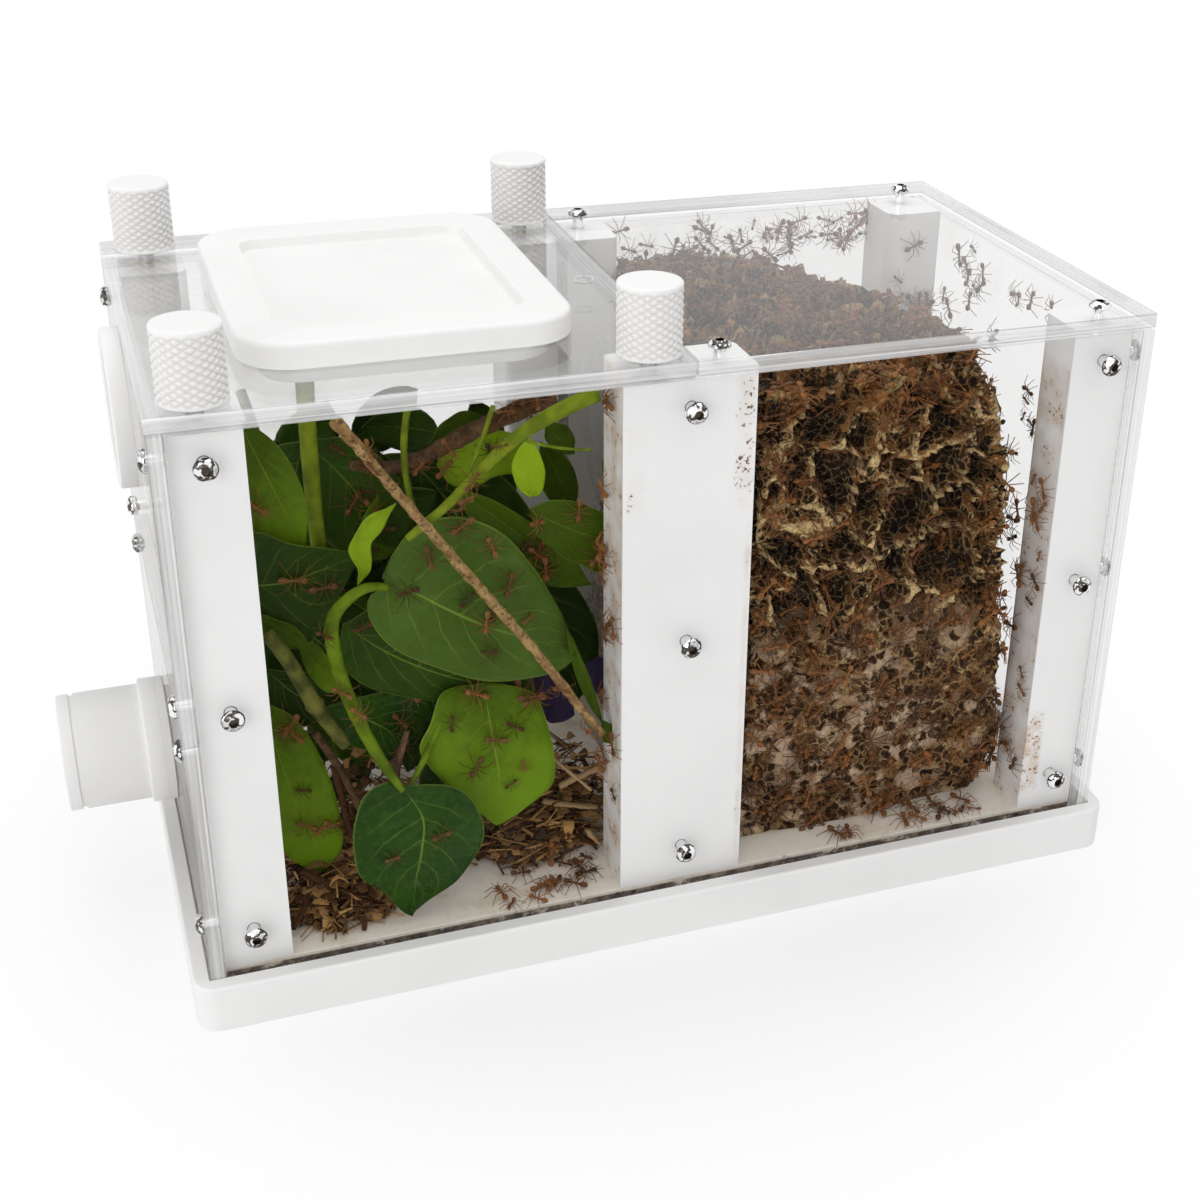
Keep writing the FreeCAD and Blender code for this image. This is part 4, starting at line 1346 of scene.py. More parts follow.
class HABITAT_OT_fittings(bpy.types.Operator):
    """Turn the tube port and the vent ring, and weave the vent's mesh"""

    bl_idname = "habitat.fittings"
    bl_label = "Port and Vent"

    def execute(self, context):
        finish = white_plastic("fitting_plastic", tint("plastic"))
        self.port(finish)
        self.ring(finish)
        self.mesh(polished_metal("mesh_steel", (0.42, 0.42, 0.42), 0.35, 0.4))
        return {"FINISHED"}

    def size_mm(self, node):
        """How far a fitting stands out from the end wall, and its outer radius."""
        low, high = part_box(node)
        return (high.x - low.x) / MM, (high.y - low.y) / 2 / MM

    def fitting(self, node, rows, finish):
        """A fitting turned about X from the end wall, from rows of radius and reach in mm."""
        low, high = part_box(node)
        centre = Vector((high.x, (low.y + high.y) / 2, (low.z + high.z) / 2))
        bm = bmesh.new()
        turned(bm, [(r * MM, h * MM) for r, h in rows], centre, (-1, 0, 0), 96)
        made = put(node + "_turned", bm, finish, ROOT, (node,))
        sharpen(made, 38.0)

    def port(self, finish):
        """The push-fit outlet with its flange, two fine grooves and an open bore."""
        reach, flange = self.size_mm("tube_port")
        bore, pipe = 12.5, 15.5
        self.fitting("tube_port", [
            (bore, 0.0), (14.0, 0.0), (14.0, SHEET_MM), (flange - 0.25, SHEET_MM),
            (flange, 4.25), (flange, 6.0), (flange - 0.08, 6.02), (flange - 0.08, 6.2),
            (flange, 6.22), (flange, 10.1), (flange - 0.12, 10.38), (flange - 0.4, 10.5),
            (pipe, 10.5), (pipe, 27.2), (14.9, 27.25), (14.9, 28.35), (pipe, 28.4),
            (pipe, reach - 0.5), (15.35, reach - 0.12), (15.0, reach), (13.0, reach),
            (12.65, reach - 0.1), (bore, reach - 0.45), (bore, 0.0),
        ], finish)

    def ring(self, finish):
        """The vent's ring, with a rounded face and a pocket for the mesh behind."""
        thick, outer = self.size_mm("vent_ring")
        opening, pocket = 16.0, 18.3
        self.fitting("vent_ring", [
            (outer, 0.0), (outer, thick - 1.0), (outer - 0.25, thick - 0.35),
            (outer - 0.9, thick), (17.2, thick), (16.4, thick - 0.25), (opening, thick - 0.9),
            (opening, 1.0), (pocket, 1.0), (pocket, 0.0), (outer, 0.0),
        ], finish)

    def mesh(self, finish):
        """Level and upright wires, side by side."""
        low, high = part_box("vent_mesh")
        centre = (low + high) / 2
        radius = (high.y - low.y) / 2
        pitch, wire = 1.5 * MM, 0.16 * MM
        bm = bmesh.new()
        count = int(radius / pitch)
        for index in range(-count, count + 1):
            offset = index * pitch
            half = math.sqrt(max(radius ** 2 - offset ** 2, 0.0))
            if half < pitch:
                continue
            for upright in (False, True):
                made = bmesh.ops.create_cube(bm, size=2.0)["verts"]
                span = (wire, half, wire) if not upright else (wire, wire, half)
                shift = (-wire * 0.9, 0, offset) if not upright else (wire * 0.9, offset, 0)
                bmesh.ops.scale(bm, vec=span, verts=made)
                bmesh.ops.translate(bm, vec=centre + Vector(shift), verts=made)
        put("vent_mesh_woven", bm, finish, ROOT, ("vent_mesh",), smooth=False)


class HABITAT_OT_leaves(bpy.types.Operator):
    """Shape the cut leaves and the petals"""

    bl_idname = "habitat.leaves"
    bl_label = "Leaves"

    def execute(self, context):
        deep, light, lime = tint("leaf_deep"), tint("leaf_light"), tint("leaf_lime")
        pale = (0.22, 0.32, 0.04)
        glossy = leaf_skin("leaf_glossy", (0.009, 0.034, 0.0015), (0.03, 0.085, 0.004), pale,
                           0.5, 0.16, 0.1)
        dark = leaf_skin("leaf_dark", deep, scaled(deep, 2.1), pale, 0.5, 0.22, 0.06)
        grey = leaf_skin("leaf_greyed", (0.04, 0.078, 0.006), (0.085, 0.15, 0.022), pale,
                         0.55, 0.2, 0.08)
        mid = leaf_skin("leaf_middle", scaled(light, 0.55), scaled(light, 1.2), pale,
                        0.45, 0.24, 0.06)
        bright = leaf_skin("leaf_bright", scaled(light, 0.75), scaled(light, 2.1),
                           (0.3, 0.42, 0.05), 0.35, 0.22, 0.05, 0.9)
        young = leaf_skin("leaf_young", lime, scaled(lime, 1.7), (0.4, 0.5, 0.1),
                          0.4, 0.28, 0.06)
        plans = {
            "leaf_heart": (glossy, dict(fold=-1.0, curl=2.4, cup=0.8, ripple=0.6)),
            "leaf_oval_front": (grey, dict(fold=0.5, curl=2.2, cup=0.6, lean=-3.0)),
            "leaf_oval_behind": (dark, dict(fold=0.6, curl=1.0, shade=0.3)),
            "leaf_lower_dark": (glossy, dict(fold=0.8, curl=0.8)),
            "leaf_pointed": (dark, dict(fold=0.6, curl=0.8, cup=1.0)),
            "leaf_back_left": (dark, dict(fold=1.0, curl=2.0, shade=0.8)),
            "leaf_back_middle": (dark, dict(fold=1.0, curl=2.0, shade=0.2)),
            "leaf_back_right": (dark, dict(fold=1.0, curl=2.0)),
            "leaf_back_low": (dark, dict(fold=1.0, curl=2.0)),
            "leaf_lower_middle": (bright, dict(fold=0.4, curl=4.0, shade=0.4, cup=3.0)),
            "leaf_lower_left": (bright, dict(fold=1.0, curl=2.5, shade=0.4, cup=2.0)),
            "leaf_upper_left": (bright, dict(fold=0.6, curl=1.2, shade=0.1)),
            "leaf_right_upper": (mid, dict(fold=0.8, curl=1.0)),
            "leaf_right_long": (mid, dict(fold=1.2, curl=1.2, shade=0.2)),
            "leaf_top": (young, dict(fold=0.5, curl=0.8)),
            "leaf_top_small": (young, dict(fold=0.4, curl=0.5, shade=0.7)),
        }
        for name, (finish, form) in plans.items():
            slot = "dark_leaf" if finish in (glossy, grey, dark) else "bright_leaf"
            make_blade(name + "_blade", LEAF_SHAPES[name], finish, slot, (name,), **form)
        petal = leaf_skin("petal_skin", (0.016, 0.011, 0.026), (0.045, 0.03, 0.072),
                          (0.06, 0.045, 0.09), 0.2, 0.4)
        make_blade("flower_petal_blade", LEAF_SHAPES["flower_petal"], petal, "purple_petal",
                   ("flower_petal",), fold=0.5, curl=0.8, ripple=1.0)
        extras = {
            "top_dark": mid, "twist": young, "strip_left": bright, "small_left": mid,
            "right_dark": mid, "right_edge": bright, "slender": mid, "cut_tip": mid,
            "mid_fill": dark, "back_top": mid, "low_left_dark": dark, "petal_right": petal,
        }
        for name, finish in extras.items():
            slot = "purple_petal" if finish is petal else "bright_leaf"
            make_blade("small_" + name, SMALL_LEAF_SHAPES[name], finish, slot,
                       fold=0.5, curl=0.7, ripple=0.5)
        self.pile("leaf_pile_dark", dark, 58, random.Random(21))
        self.pile("leaf_pile_green", mid, 16, random.Random(22))
        return {"FINISHED"}

    def pile(self, name, finish, count, dice):
        """The smaller leaves heaped behind the large ones."""
        bm = bmesh.new()
        bm.loops.layers.uv.new("blade")
        tone = bm.verts.layers.float.new("shade")
        worker = bpy.data.meshes.new("pile_leaf")
        for _ in range(count):
            self.pile_leaf(worker, dice)
            made = add_copy(bm, worker)
            depth = dice.uniform(-22, 34)
            place = Vector((dice.uniform(-98, -22), depth, dice.uniform(26, 128)))
            turn = (Matrix.Rotation(dice.uniform(-0.5, 0.5), 4, "Z")
                    @ Matrix.Rotation(dice.uniform(-0.45, 0.45), 4, "X")
                    @ Matrix.Rotation(dice.uniform(0, 6.283), 4, "Y"))
            bmesh.ops.transform(bm, matrix=Matrix.Translation(place * MM) @ turn, verts=made)
            shade = dice.random()
            for vert in made:
                vert[tone] = shade
        bpy.data.meshes.remove(worker)
        put(name, bm, finish, ROOT)

    def pile_leaf(self, mesh, dice):
        """Writes one folded leaf of its own size into the mesh, facing Y."""
        length, width = dice.uniform(18, 27), dice.uniform(6, 9.5)
        bm = bmesh.new()
        grid = blade_grid(bm, 10, 6)
        bend, fold = dice.uniform(-2.5, 2.5), dice.uniform(0.5, 2.0)
        for vert in grid:
            u, v = vert.co.x + 0.5, vert.co.y * 2
            half = width * math.sin(math.pi * u ** 0.8) ** 0.75 if 0 < u < 0.999 else 0.0
            vert.co = Vector(((u - 0.5) * length, bend * math.sin(math.pi * u) - fold * abs(v),
                              half * v)) * MM
        thicken(bm)
        bm.to_mesh(mesh)
        bm.free()


class HABITAT_OT_stems(bpy.types.Operator):
    """Grow the green stems, the dry twig and the branch"""

    bl_idname = "habitat.stems"
    bl_label = "Stems and Twigs"

    def execute(self, context):
        stem = tint("stem")
        green = stem_skin("stem_green", stem, scaled(stem, 0.5))
        lime = stem_skin("stem_lime", (0.2, 0.26, 0.014), (0.1, 0.14, 0.008))
        tube("stem_upper_tube",
             [(-21, -55.5, 152.6), (-30.7, -55.5, 149.4), (-41, -55.5, 144), (-51.2, -55.5, 135),
              (-58.5, -55.5, 128), (-64, -55.5, 124), (-68, -55.5, 121)],
             [2.1, 1.9, 1.7, 1.3, 1.1, 1.2, 0.9], lime, ("stem_upper",), 0.12)
        tube("stem_lower_tube",
             [(-73.2, -53.2, 107.8), (-76.5, -55.5, 110.0), (-81.5, -56, 109), (-87.6, -56, 103.5),
              (-87.3, -56, 92), (-84.5, -56.3, 80), (-80, -56.8, 66.5), (-75.5, -57.6, 57),
              (-73.2, -59.8, 53.5)],
             [0.9, 1.1, 1.4, 1.7, 1.8, 1.8, 1.6, 1.3, 0.8], green,
             ("stem_lower",), 0.12)
        tube("stem_upright_tube", [(-86, -33, 156), (-86.6, -33, 128), (-85.5, -33, 104)],
             [2.2, 2.1, 1.8], lime, ("stem_upright",), 0.12)
        olive = stem_skin("stem_olive", (0.16, 0.16, 0.035), (0.05, 0.055, 0.012))
        tube("stem_jointed_tube",
             [(-101.5, -49, 97.5), (-98, -48.8, 91.5), (-92.4, -48.5, 77), (-91.9, -48.5, 75.8),
              (-91.4, -48.4, 74.6), (-88, -48.2, 68), (-85, -48, 62.2)],
             [1.7, 1.9, 1.9, 2.7, 1.9, 1.8, 1.5], olive, ("stem_jointed",), 0.15)
        bark = bark_skin("twig_bark", (0.42, 0.27, 0.11), (0.17, 0.095, 0.035))
        tube("twig_tube",
             [(-83.5, -59.6, 154.5), (-80, -59.6, 149.5), (-76.6, -59.7, 144), (-64.5, -59.6, 126),
              (-51.1, -59.7, 106), (-38.9, -59.6, 88.6), (-27.2, -59.6, 69.5),
              (-21.1, -59.6, 60.1)],
             [1.7, 1.35, 1.25, 1.2, 1.3, 1.25, 1.15, 1.0], bark, ("twig",),
             0.45, 24)
        brown = bark_skin("branch_bark", (0.16, 0.09, 0.042), (0.06, 0.032, 0.016))
        tube("branch_tube",
             [(-76, -29, 130), (-69, -29, 128), (-60.8, -29, 128.3), (-51, -29, 133),
              (-40.4, -29, 137), (-24, -29, 142.5)],
             [1.2, 1.5, 2.0, 2.2, 2.3, 2.4], brown, ("branch",), 0.5, 20)
        self.sprigs(green, lime, brown)
        return {"FINISHED"}

    def sprigs(self, green, lime, brown):
        """Thin stalks and side shoots between the leaves."""
        runs = {
            "sprig_heart": (green, [(-61, -50, 66), (-66, -54, 58), (-71.5, -58, 53)], 0.9),
            "sprig_right": (lime, [(-40, -54.5, 143), (-33, -54, 139), (-22, -54, 137.5)], 0.45),
            "sprig_top": (lime, [(-45, -50, 150), (-48, -51, 142), (-52, -54, 136)], 0.6),
            "sprig_low": (brown, [(-70, -52, 66), (-73, -53, 58), (-74.5, -54, 50)], 0.8),
            "sprig_left": (brown, [(-92, -46, 66), (-86, -46, 55), (-82, -47, 40)], 1.1),
            "sprig_back": (green, [(-100, -24, 150), (-92, -22, 120), (-96, -20, 90)], 1.3),
            "sprig_middle": (lime, [(-62, -36, 148), (-66, -33, 131), (-60, -30, 112)], 0.9),
            "sprig_cross": (green, [(-84, -38, 84), (-70, -40.5, 80), (-58, -41, 70)], 1.0),
        }
        for name, (finish, points, radius) in runs.items():
            tube(name, points, [radius, radius, radius * 0.7], finish, (), 0.1)


CAVE_CELL = 14.0 * MM
PIT_CELL = 5.2 * MM


def cell_walls(place, cell, wobble):
    """Distance in from the nearest wall of a foam of cells about this wide."""
    warp = noise.noise_vector(place * (0.9 / cell)) * wobble
    warp += noise.noise_vector(place * (3.1 / cell)) * wobble * 0.35
    near, next_near = noise.voronoi((place + warp) / cell)[0][:2]
    return (next_near - near) * cell


class HABITAT_OT_fungus(bpy.types.Operator):
    """Carve the fungus comb's caves and ridges"""

    bl_idname = "habitat.fungus"
    bl_label = "Fungus Comb"

    def execute(self, context):
        block = bpy.data.meshes.new("comb_block")
        bm = merged_copy("fungus_garden")
        bm.to_mesh(block)
        bm.free()
        lump = link_object("comb_block", block)
        grid = lump.modifiers.new("grid", "REMESH")
        grid.mode = "VOXEL"
        grid.voxel_size = sizes().comb_voxel
        bm = as_shown(lump)
        bmesh.ops.smooth_vert(bm, verts=bm.verts, factor=0.6, use_axis_x=True,
                              use_axis_y=True, use_axis_z=True)
        self.swell_foot(bm)
        self.carve(bm)
        finish = comb_skin("fungus_comb", tint("comb_ridge"), tint("comb_rust"),
                           (0.014, 0.008, 0.005))
        put("fungus_comb", bm, finish, ROOT, ("fungus_garden",))
        return {"FINISHED"}

    def swell_foot(self, bm):
        """Fills the comb's foot out towards the front right corner."""
        for vert in bm.verts:
            place = vert.co
            down = 1 - ease(26 * MM, 62 * MM, place.z)
            right = ease(66 * MM, 92 * MM, place.x) * (1 - ease(-6 * MM, 26 * MM, place.y))
            vert.co += Vector((8.5, -3.5 if place.y < -30 * MM else 0.0, 0)) * MM * down * right

    def carve(self, bm):
        """Sinks the caves and small pits between cell walls, and raises the walls' lines."""
        ridge = bm.verts.layers.float.new("ridge")
        hollow = bm.verts.layers.float.new("hollow")
        bm.normal_update()
        noise.seed_set(16)  # noise_vector draws its offsets from this
        depth = sizes().comb_depth
        moves = []
        for vert in bm.verts:
            place = vert.co.copy()
            rich = noise.noise(place * 45.0 + Vector((0, 0, 2.3))) * 0.5 + 0.5
            tall = ease(0.066, 0.09, place.z + 0.012 * (rich - 0.5))
            big = cell_walls(place, CAVE_CELL, 4.0 * MM)
            small = cell_walls(place + Vector((0.3, 0, 0)), PIT_CELL, 1.8 * MM)
            open_cave = ease(0.6 * MM, 3.4 * MM, big) * tall * ease(0.1, 0.4, rich)
            pit = ease(0.3 * MM, 1.8 * MM, small)
            sink = open_cave * depth + pit * (1.3 + 0.9 * tall) * MM
            sink += (noise.noise(place * 55.0) * 0.5 + 0.5) * 3.0 * MM
            crumb = noise.noise(place * 620.0) * 0.55 * MM
            big_line = (1 - ease(0.25 * MM, 0.9 * MM, big)) * tall
            small_line = (1 - ease(0.2 * MM, 0.65 * MM, small)) * (0.75 - 0.4 * rich)
            sink -= big_line * 1.2 * MM
            line = max(big_line, small_line)
            moves.append((vert, vert.normal * (crumb - sink), line, open_cave))
        for vert, move, line, cave_shade in moves:
            if vert.co.z < CHAMBER_FLOOR + 0.6 * MM:  # the foot stays on the floor
                move = Vector((move.x, move.y, 0)) * 0.5
            vert.co += move
            vert[ridge] = line
            # how open the caves are here; the comb's finish paints them dark as shade
            vert[hollow] = cave_shade


class HABITAT_OT_litter(bpy.types.Operator):
    """Scatter straw and leaf scraps on the foraging floor"""

    bl_idname = "habitat.litter"
    bl_label = "Leaf Litter"

    def execute(self, context):
        finish = straw_skin("dry_straw", (0.5, 0.28, 0.1), (0.06, 0.025, 0.01))
        pale = straw_skin("pale_straw", (0.5, 0.34, 0.18), (0.4, 0.26, 0.13))
        low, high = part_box("litter_left")
        self.scatter("litter_left_scraps", low, high, 4 * MM, 420, random.Random(5), finish,
                     ("litter_left",))
        low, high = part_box("litter_right")
        self.scatter("litter_right_scraps", low, high, 2 * MM, 520, random.Random(9), finish,
                     ("litter_right",))
        loose = (
            ("floor_scraps", (-116, -40, 12.6), (-14, 52, 16.0), 380, 12),
            ("heap_left_scraps", (-106, -48, 12.6), (-76, -22, 36.0), 300, 14),
            ("heap_right_scraps", (-34, -44, 12.6), (-7, -8, 40.0), 260, 15),
            ("heap_middle_scraps", (-92, -45, 12.6), (-68, -24, 58.0), 300, 16),
        )
        for name, low, high, count, seed in loose:
            self.scatter(name, Vector(low) * MM, Vector(high) * MM, 0.0, count,
                         random.Random(seed), finish, ())
        self.sticks(pale, finish)
        return {"FINISHED"}

    def scatter(self, name, low, high, over, count, dice, finish, nodes):
        """A mound of scraps in the box given, its peak this far over the box."""
        bm = bmesh.new()
        tone = bm.verts.layers.float.new("shade")
        centre = (low + high) / 2
        for _ in range(count):
            spread = dice.random() ** 0.6
            turn = dice.uniform(0, 2 * math.pi)
            x = centre.x + math.cos(turn) * spread * (high.x - low.x) * 0.5
            y = centre.y + math.sin(turn) * spread * (high.y - low.y) * 0.5
            peak = (high.z + over - low.z) * (1 - spread ** 1.7)
            z = low.z + 0.6 * MM + peak * dice.random()
            shade = dice.random() ** 1.7
            if dice.random() < 0.28:
                made = self.flake(bm, dice)
            else:
                made = self.straw(bm, dice)
            turn = Matrix.Rotation(dice.uniform(0, 6.28), 4, "Z") @ Matrix.Rotation(
                math.radians(dice.uniform(-32, 32)), 4, "X")
            bmesh.ops.transform(bm, matrix=Matrix.Translation((x, y, z)) @ turn, verts=made)
            for vert in made:
                vert[tone] = shade
                vert.co.z = max(vert.co.z, low.z + 0.05 * MM)
        put(name, bm, finish, ROOT, nodes, smooth=False)

    def straw(self, bm, dice):
        """One split straw, lying along X."""
        length = dice.choice((3.5, 5.5, 8.0, 12.0)) * dice.uniform(0.7, 1.2) * MM
        thick = dice.uniform(0.2, 0.55) * MM
        made = bmesh.ops.create_cone(
            bm, cap_ends=True, segments=5, radius1=thick, radius2=thick * 0.7, depth=length,
        )["verts"]
        squash = Matrix.Diagonal((1.0, dice.uniform(0.35, 1.0), 1.0, 1.0))
        bmesh.ops.transform(bm, matrix=Matrix.Rotation(math.pi / 2, 4, "Y") @ squash, verts=made)
        return made

    def flake(self, bm, dice):
        """One curled scrap of dry leaf."""
        made = bmesh.ops.create_grid(bm, x_segments=4, y_segments=1, size=0.5)["verts"]
        length, width = dice.uniform(2.5, 7.0), dice.uniform(1.2, 3.6)
        bend = dice.uniform(0.4, 2.6)
        for vert in made:
            u, v = vert.co.x, vert.co.y
            lift = math.cos(u * bend * 2) * length * 0.22
            vert.co = Vector((math.sin(u * bend) * length / max(bend, 0.8),
                              v * width * (1 - 1.5 * u * u), lift + v * v * width * 0.4)) * MM
        sheet = list(dict.fromkeys(face for vert in made for face in vert.link_faces))
        grown = bmesh.ops.solidify(bm, geom=sheet, thickness=0.25 * MM)["geom"]
        added = set(points_of(grown)) - set(made)
        settle(bm, {face for vert in made for face in vert.link_faces} - set(sheet))
        return [*made, *added]

    def sticks(self, pale, brown):
        """The longer sticks and split straws on the heaps."""
        dice = random.Random(4)
        runs = (
            (brown, (-31, -30, 20), (-17.5, -43.5, 13.6), 1.5, 0.5),
            (pale, (-31, -37, 27), (-16, -39, 23), 1.2, 0.45),
            (pale, (-26, -36, 30), (-15, -38, 35), 1.0, 0.8),
            (pale, (-21, -46, 21), (-17.6, -46, 16), 1.0, 0.6),
            (brown, (-98, -46, 25), (-78.5, -52.5, 13.4), 1.2, 0.9),
            (pale, (-94, -57, 13.4), (-84, -50, 14.5), 0.7, 0.5),
            (brown, (-103, -56, 15), (-97, -48, 20), 0.9, 0.7),
            (brown, (-88, -46, 55), (-85, -46, 33), 1.1, 0.9),
            (brown, (-71, -43, 56), (-73, -46, 46), 0.9, 0.9),
            (pale, (-30, -44, 45), (-20, -46, 34), 0.6, 0.8),
        )
        for index, (finish, start, end, radius, flat) in enumerate(runs):
            middle = [(a + b) / 2 + dice.uniform(-0.8, 0.8) for a, b in zip(start, end)]
            made = tube(f"litter_stick_{index + 1}", [start, middle, end],
                        [radius, radius * 1.1, radius * 0.9], finish, (), 0.4)
            level = (start[2] + end[2]) / 2 * MM
            slope = (end[2] - start[2]) / (end[0] - start[0])
            for vert in made.data.vertices:
                line = level + slope * (vert.co.x - (start[0] + end[0]) / 2 * MM)
                vert.co.z = max(line + (vert.co.z - line) * flat, CHAMBER_FLOOR + 0.05 * MM)


def ant_template(knees):
    """One worker, 1 unit long, head towards +X, feet at z = 0."""
    bm = bmesh.new()
    for centre, size in (((0.37, 0, 0.16), (0.14, 0.13, 0.10)),
                         ((-0.31, 0, 0.17), (0.18, 0.13, 0.12))):
        ball = bmesh.ops.create_icosphere(bm, subdivisions=1, radius=1.0)["verts"]
        bmesh.ops.scale(bm, vec=size, verts=ball)
        bmesh.ops.translate(bm, vec=centre, verts=ball)
    leg(bm, (-0.17, 0, 0.15), (0.27, 0, 0.19), 0.05, 5)
    for side in (-1, 1):
        for hip, knee, foot in (
            ((0.17, 0.04), (0.36, 0.27), (0.55, 0.52)),
            ((0.09, 0.04), (0.12, 0.35), (0.18, 0.68)),
            ((0.02, 0.04), (-0.17, 0.32), (-0.46, 0.62)),
        ):
            top, bend, end = ((x, side * y, z) for (x, y), z in
                              ((hip, 0.16), (knee, 0.28), (foot, 0.0)))
            if knees:
                leg(bm, top, bend, 0.026)
                leg(bm, bend, end, 0.02)
            else:
                leg(bm, top, end, 0.026)
        leg(bm, (0.46, side * 0.05, 0.18), (0.72, side * 0.16, 0.2), 0.016)
    mesh = bpy.data.meshes.new("ant_template")
    bm.to_mesh(mesh)
    bm.free()
    return mesh


def leg(bm, start, end, radius, segments=3):
    """A thin tapering limb between two places."""
    start, end = Vector(start), Vector(end)
    line = end - start
    made = bmesh.ops.create_cone(bm, cap_ends=False, segments=segments, radius1=radius,
                                 radius2=radius * 0.7, depth=line.length)["verts"]
    turn = line.to_track_quat("Z", "Y").to_matrix().to_4x4()
    bmesh.ops.transform(bm, matrix=Matrix.Translation((start + end) / 2) @ turn, verts=made)


def ant_swarm(name, spots, dice, finish, knees=True):
    """Copies the worker to each spot, given as a place and a surface normal."""
    worker = ant_template(knees)
    bm = bmesh.new()
    tone = bm.verts.layers.float.new("shade")
    for place, normal in spots:
        made = add_copy(bm, worker)
        size = sizes().ant_length * dice.choice((0.62, 0.8, 0.95, 1.1)) * dice.uniform(0.92, 1.08)
        face = Vector(normal).to_track_quat("Z", "Y").to_matrix().to_4x4()
        spin = Matrix.Rotation(dice.uniform(0, 6.283), 4, "Z")
        grow = Matrix.Scale(size, 4)
        bmesh.ops.transform(bm, matrix=Matrix.Translation(place) @ face @ spin @ grow, verts=made)
        shade = dice.random()
        for vert in made:
            vert[tone] = shade
    bpy.data.meshes.remove(worker)
    return put(name, bm, finish, ROOT, (), smooth=False)


def mesh_spots(name, count, dice, keep, lift, upright=None):
    """Random places on a piece, by area, that pass the keep test."""
    faces = [f for f in bpy.data.objects[name].data.polygons if keep(f.center, f.normal)]
    if not faces:
        raise RuntimeError("no face of " + name + " can hold ants")
    found = []
    for face in dice.choices(faces, weights=[f.area for f in faces], k=count):
        normal = face.normal.copy()
        if upright:
            normal = (normal * 0.45 + Vector(upright) * 0.55).normalized()
        found.append((face.center + normal * lift, normal))
    return found


# Ants off the leaves and comb: how many, then x, y and z in mm, each fixed, between two
# numbers or about a third one between them, then the surface's normal.
NEST_SPOTS = (
    (58, (20, 104), 62.8, (138, 156, 153), (0, -1, 0)),
    (44, 120.8, (-40, 44), (60, 155, 150), (-1, 0, 0)),
    (16, 103.3, (-61, -50), (25, 130), (-1, 0, 0)),
    (8, (104, 119), 45.9, (110, 156), (0, -1, 0)),
    (16, (22, 102, 90), (-61, -52), 12.6, (0, 0, 1)),
)
FORAGE_FLOOR_SPOTS = ((17, (-58, -19, -26), (-61.5, -43), 12.6, (0, 0, 1)),)
FORAGE_POST_SPOTS = ((14, -17.1, (-61, -48), (30, 150), (-1, 0, 0)),)


def drawn_spots(rows, dice):
    """Random places within rows of ranges."""
    def draw(span):
        if not isinstance(span, tuple):
            return span
        return dice.uniform(*span) if len(span) == 2 else dice.triangular(*span)

    return [(Vector([draw(span) for span in spans]) * MM, normal)
            for count, *spans, normal in rows for _ in range(count)]


class HABITAT_OT_ants(bpy.types.Operator):
    """Set the workers on the comb, leaves, walls and floors"""

    bl_idname = "habitat.ants"
    bl_label = "Ants"

    def execute(self, context):
        ant = tint("ant")
        finish = ant_skin("ant_cuticle", scaled(ant, 1.7), scaled(ant, 0.25))
        workers = sizes().comb_ants
        dice = random.Random(31)
        sides = (
            ("front", workers * 5 // 6, dice, dice, (0, -1, 0),
             lambda at, n: at.y < -50 * MM and n.y < -0.3),
            ("top", workers * 3 // 2, dice, dice, (0, 0, 1),
             lambda at, n: at.z > 138 * MM and n.z > 0.3),
            ("side", workers // 2, dice, dice, (1, 0, 0),
             lambda at, n: at.x > 84 * MM and n.x > 0.3 and at.z < 150 * MM),
            ("back", workers // 3, random.Random(32), random.Random(33), (0, 1, 0),
             lambda at, n: at.y > 40 * MM and n.y > 0.3),
        )
        for side, count, places, turns, outward, keep in sides:
            spots = mesh_spots("fungus_comb", count, places, keep, 0.5 * MM, outward)
            ant_swarm("ants_comb_" + side, spots, turns, finish, False)
        ant_swarm("ants_nest_walls", drawn_spots(NEST_SPOTS, dice), dice, finish)
        ant_swarm("ants_forage", self.forage(dice), dice, finish)
        return {"FINISHED"}

    def forage(self, dice):
        """Spots on the litter floor, on the leaves and twigs, and on the middle post."""
        spots = drawn_spots(FORAGE_FLOOR_SPOTS, dice)
        leaves = (
            ("leaf_oval_front_blade", 10), ("leaf_oval_behind_blade", 8),
            ("leaf_heart_blade", 2), ("leaf_lower_middle_blade", 9),
            ("leaf_lower_left_blade", 7), ("leaf_pointed_blade", 2),
            ("leaf_upper_left_blade", 4), ("leaf_right_upper_blade", 4),
            ("leaf_right_long_blade", 5), ("leaf_top_blade", 3), ("leaf_back_left_blade", 8),
            ("leaf_lower_dark_blade", 3), ("branch_tube", 9), ("stem_upper_tube", 3),
            ("stem_lower_tube", 3), ("twig_tube", 4), ("litter_left_scraps", 9),
            ("litter_right_scraps", 14), ("leaf_pile_dark", 30),
        )
        for name, count in leaves:
            spots += mesh_spots(name, count, dice, lambda at, n: n.y < -0.3, 0.25 * MM)
        return spots + drawn_spots(FORAGE_POST_SPOTS, dice)


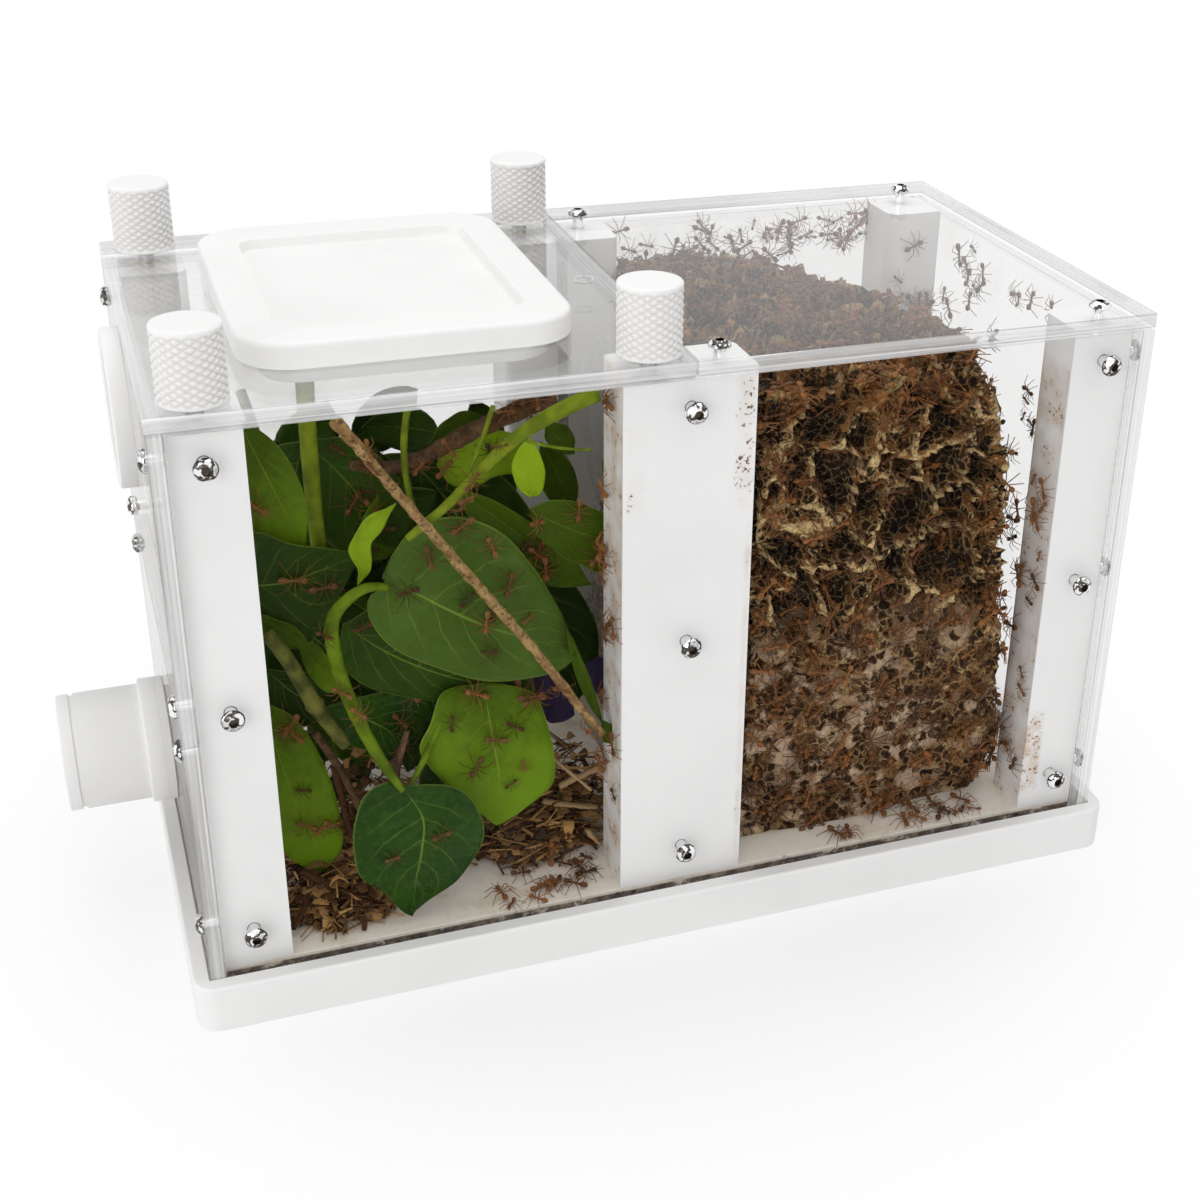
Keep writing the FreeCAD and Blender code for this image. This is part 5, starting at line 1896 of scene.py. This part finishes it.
class HABITAT_OT_stage(bpy.types.Operator):
    """Lay the pale floor, set the studio light and place the camera"""

    bl_idname = "habitat.stage"
    bl_label = "Stage"

    def execute(self, context):
        self.world(context.scene)
        self.floor()
        self.lamps()
        self.camera(context.scene)
        context.scene.view_settings.view_transform = "Standard"
        return {"FINISHED"}

    def world(self, scene):
        """Soft light on the object, and plain white where the world is seen."""
        scene.world = bpy.data.worlds.new("studio")
        graph = Graph(scene.world)
        soft = graph.node("ShaderNodeBackground", None,
                          {"Color": (0.98, 0.985, 1.0), "Strength": 0.58})
        shown = graph.node("ShaderNodeBackground", None,
                           {"Color": (1, 1, 1), "Strength": 1.0})
        mix = graph.node("ShaderNodeMixShader", None, {0: graph.seen(), 1: soft, 2: shown})
        graph.show("ShaderNodeOutputWorld", mix)

    def floor(self):
        """A wide floor that keeps the object's shadow and turns white away from it."""
        bm = bmesh.new()
        bmesh.ops.create_grid(bm, x_segments=2, y_segments=2, size=6.0)
        mesh = bpy.data.meshes.new("studio_floor")
        bm.to_mesh(mesh)
        bm.free()
        material = bpy.data.materials.new("floor_white")
        graph = Graph(material)
        matt = graph.node("ShaderNodeBsdfDiffuse", None, {"Color": (0.9, 0.9, 0.9)})
        glow = graph.node("ShaderNodeEmission", None, {"Color": (1, 1, 1), "Strength": 1.0})
        reach = graph.node("ShaderNodeVectorMath", {"operation": "LENGTH"}, {0: graph.place()},
                           output="Value")
        fade = graph.node(
            "ShaderNodeMapRange", {"interpolation_type": "SMOOTHSTEP"},
            {"Value": reach, "From Min": 0.09, "From Max": 0.2, "To Min": 0.55, "To Max": 1.0},
        )
        mix = graph.node("ShaderNodeMixShader", None, {0: fade * graph.seen(), 1: matt, 2: glow})
        graph.show("ShaderNodeOutputMaterial", mix)
        mesh.materials.append(material)
        link_object("studio_floor", mesh)

    def lamps(self):
        """Square softboxes: place and target in metres, side and power."""
        lamps = (
            ("top_softbox", (0.15, 0.1, 1.2), (0, 0, 0.05), 1.3, 7.2),
            ("front_softbox", (-0.85, -1.1, 0.55), (0, 0, 0.08), 0.8, 4.3),
            ("left_softbox", (-1.35, 0.05, 0.3), (0, 0, 0.08), 0.8, 3.3),
            ("glint_box", (0.05, -1.45, 0.32), (0, 0, 0.09), 0.2, 1.0),
        )
        for name, place, target, size, power in lamps:
            light = bpy.data.lights.new(name, "AREA")
            light.size = size
            light.energy = power
            made = link_object(name, light)
            made.location = place
            made.rotation_mode = "QUATERNION"
            aim = Vector(target) - Vector(place)
            made.rotation_quaternion = aim.to_track_quat("-Z", "Y")

    def camera(self, scene):
        """The camera from its place, its turns, and its lens in pixels of a square frame."""
        place = Vector((-140.03, -437.60, 308.82)) * MM
        yaw, pitch, roll = 0.36765, 0.46647, -0.02872
        pixels, focal, shift_x, shift_y = 1200, 1802.86, -103.49, -34.64
        ahead = Vector((math.sin(yaw) * math.cos(pitch), math.cos(yaw) * math.cos(pitch),
                        -math.sin(pitch)))
        right = Vector((math.cos(yaw), -math.sin(yaw), 0))
        down = ahead.cross(right)
        rolled_right = right * math.cos(roll) + down * math.sin(roll)
        rolled_down = down * math.cos(roll) - right * math.sin(roll)
        lens = bpy.data.cameras.new("studio_camera")
        lens.sensor_width = 36.0
        lens.lens = lens.sensor_width * focal / pixels
        lens.shift_x = shift_x / pixels
        lens.shift_y = shift_y / pixels
        lens.dof.use_dof = False
        made = link_object("studio_camera", lens)
        turn = Matrix((rolled_right, -rolled_down, -ahead)).transposed().to_4x4()
        made.matrix_world = Matrix.Translation(place) @ turn
        scene.camera = made


class HABITAT_PT_panel(bpy.types.Panel):
    """The habitat's sizes, colours and steps"""

    bl_idname = "HABITAT_PT_panel"
    bl_label = "Ant Habitat"
    bl_space_type = "VIEW_3D"
    bl_region_type = "UI"
    bl_category = "Ant Habitat"

    def draw(self, context):
        column = self.layout.column()
        for group in (context.scene.habitat_sizes, context.scene.habitat_colours):
            for key in group.bl_rna.properties.keys():
                if key not in ("rna_type", "name"):
                    column.prop(group, key)
        for operator in STEPS:
            column.operator(operator.bl_idname)


STEPS = (
    HABITAT_OT_casework,
    HABITAT_OT_sheets,
    HABITAT_OT_screws,
    HABITAT_OT_knobs,
    HABITAT_OT_lid,
    HABITAT_OT_fittings,
    HABITAT_OT_leaves,
    HABITAT_OT_stems,
    HABITAT_OT_fungus,
    HABITAT_OT_litter,
    HABITAT_OT_ants,
    HABITAT_OT_stage,
)

CLASSES = (HabitatSizes, HabitatColours, *STEPS, HABITAT_PT_panel)


def register():
    for cls in CLASSES:
        bpy.utils.register_class(cls)
    bpy.types.Scene.habitat_sizes = bpy.props.PointerProperty(type=HabitatSizes)
    bpy.types.Scene.habitat_colours = bpy.props.PointerProperty(type=HabitatColours)


def unregister():
    del bpy.types.Scene.habitat_colours
    del bpy.types.Scene.habitat_sizes
    for cls in reversed(CLASSES):
        bpy.utils.unregister_class(cls)


def main():
    register()
    bpy.ops.habitat.casework()
    bpy.ops.habitat.sheets()
    bpy.ops.habitat.screws()
    bpy.ops.habitat.knobs()
    bpy.ops.habitat.lid()
    bpy.ops.habitat.fittings()
    bpy.ops.habitat.leaves()
    bpy.ops.habitat.stems()
    bpy.ops.habitat.fungus()
    bpy.ops.habitat.litter()
    bpy.ops.habitat.ants()
    bpy.ops.habitat.stage()


if __name__ == "__main__":
    main()
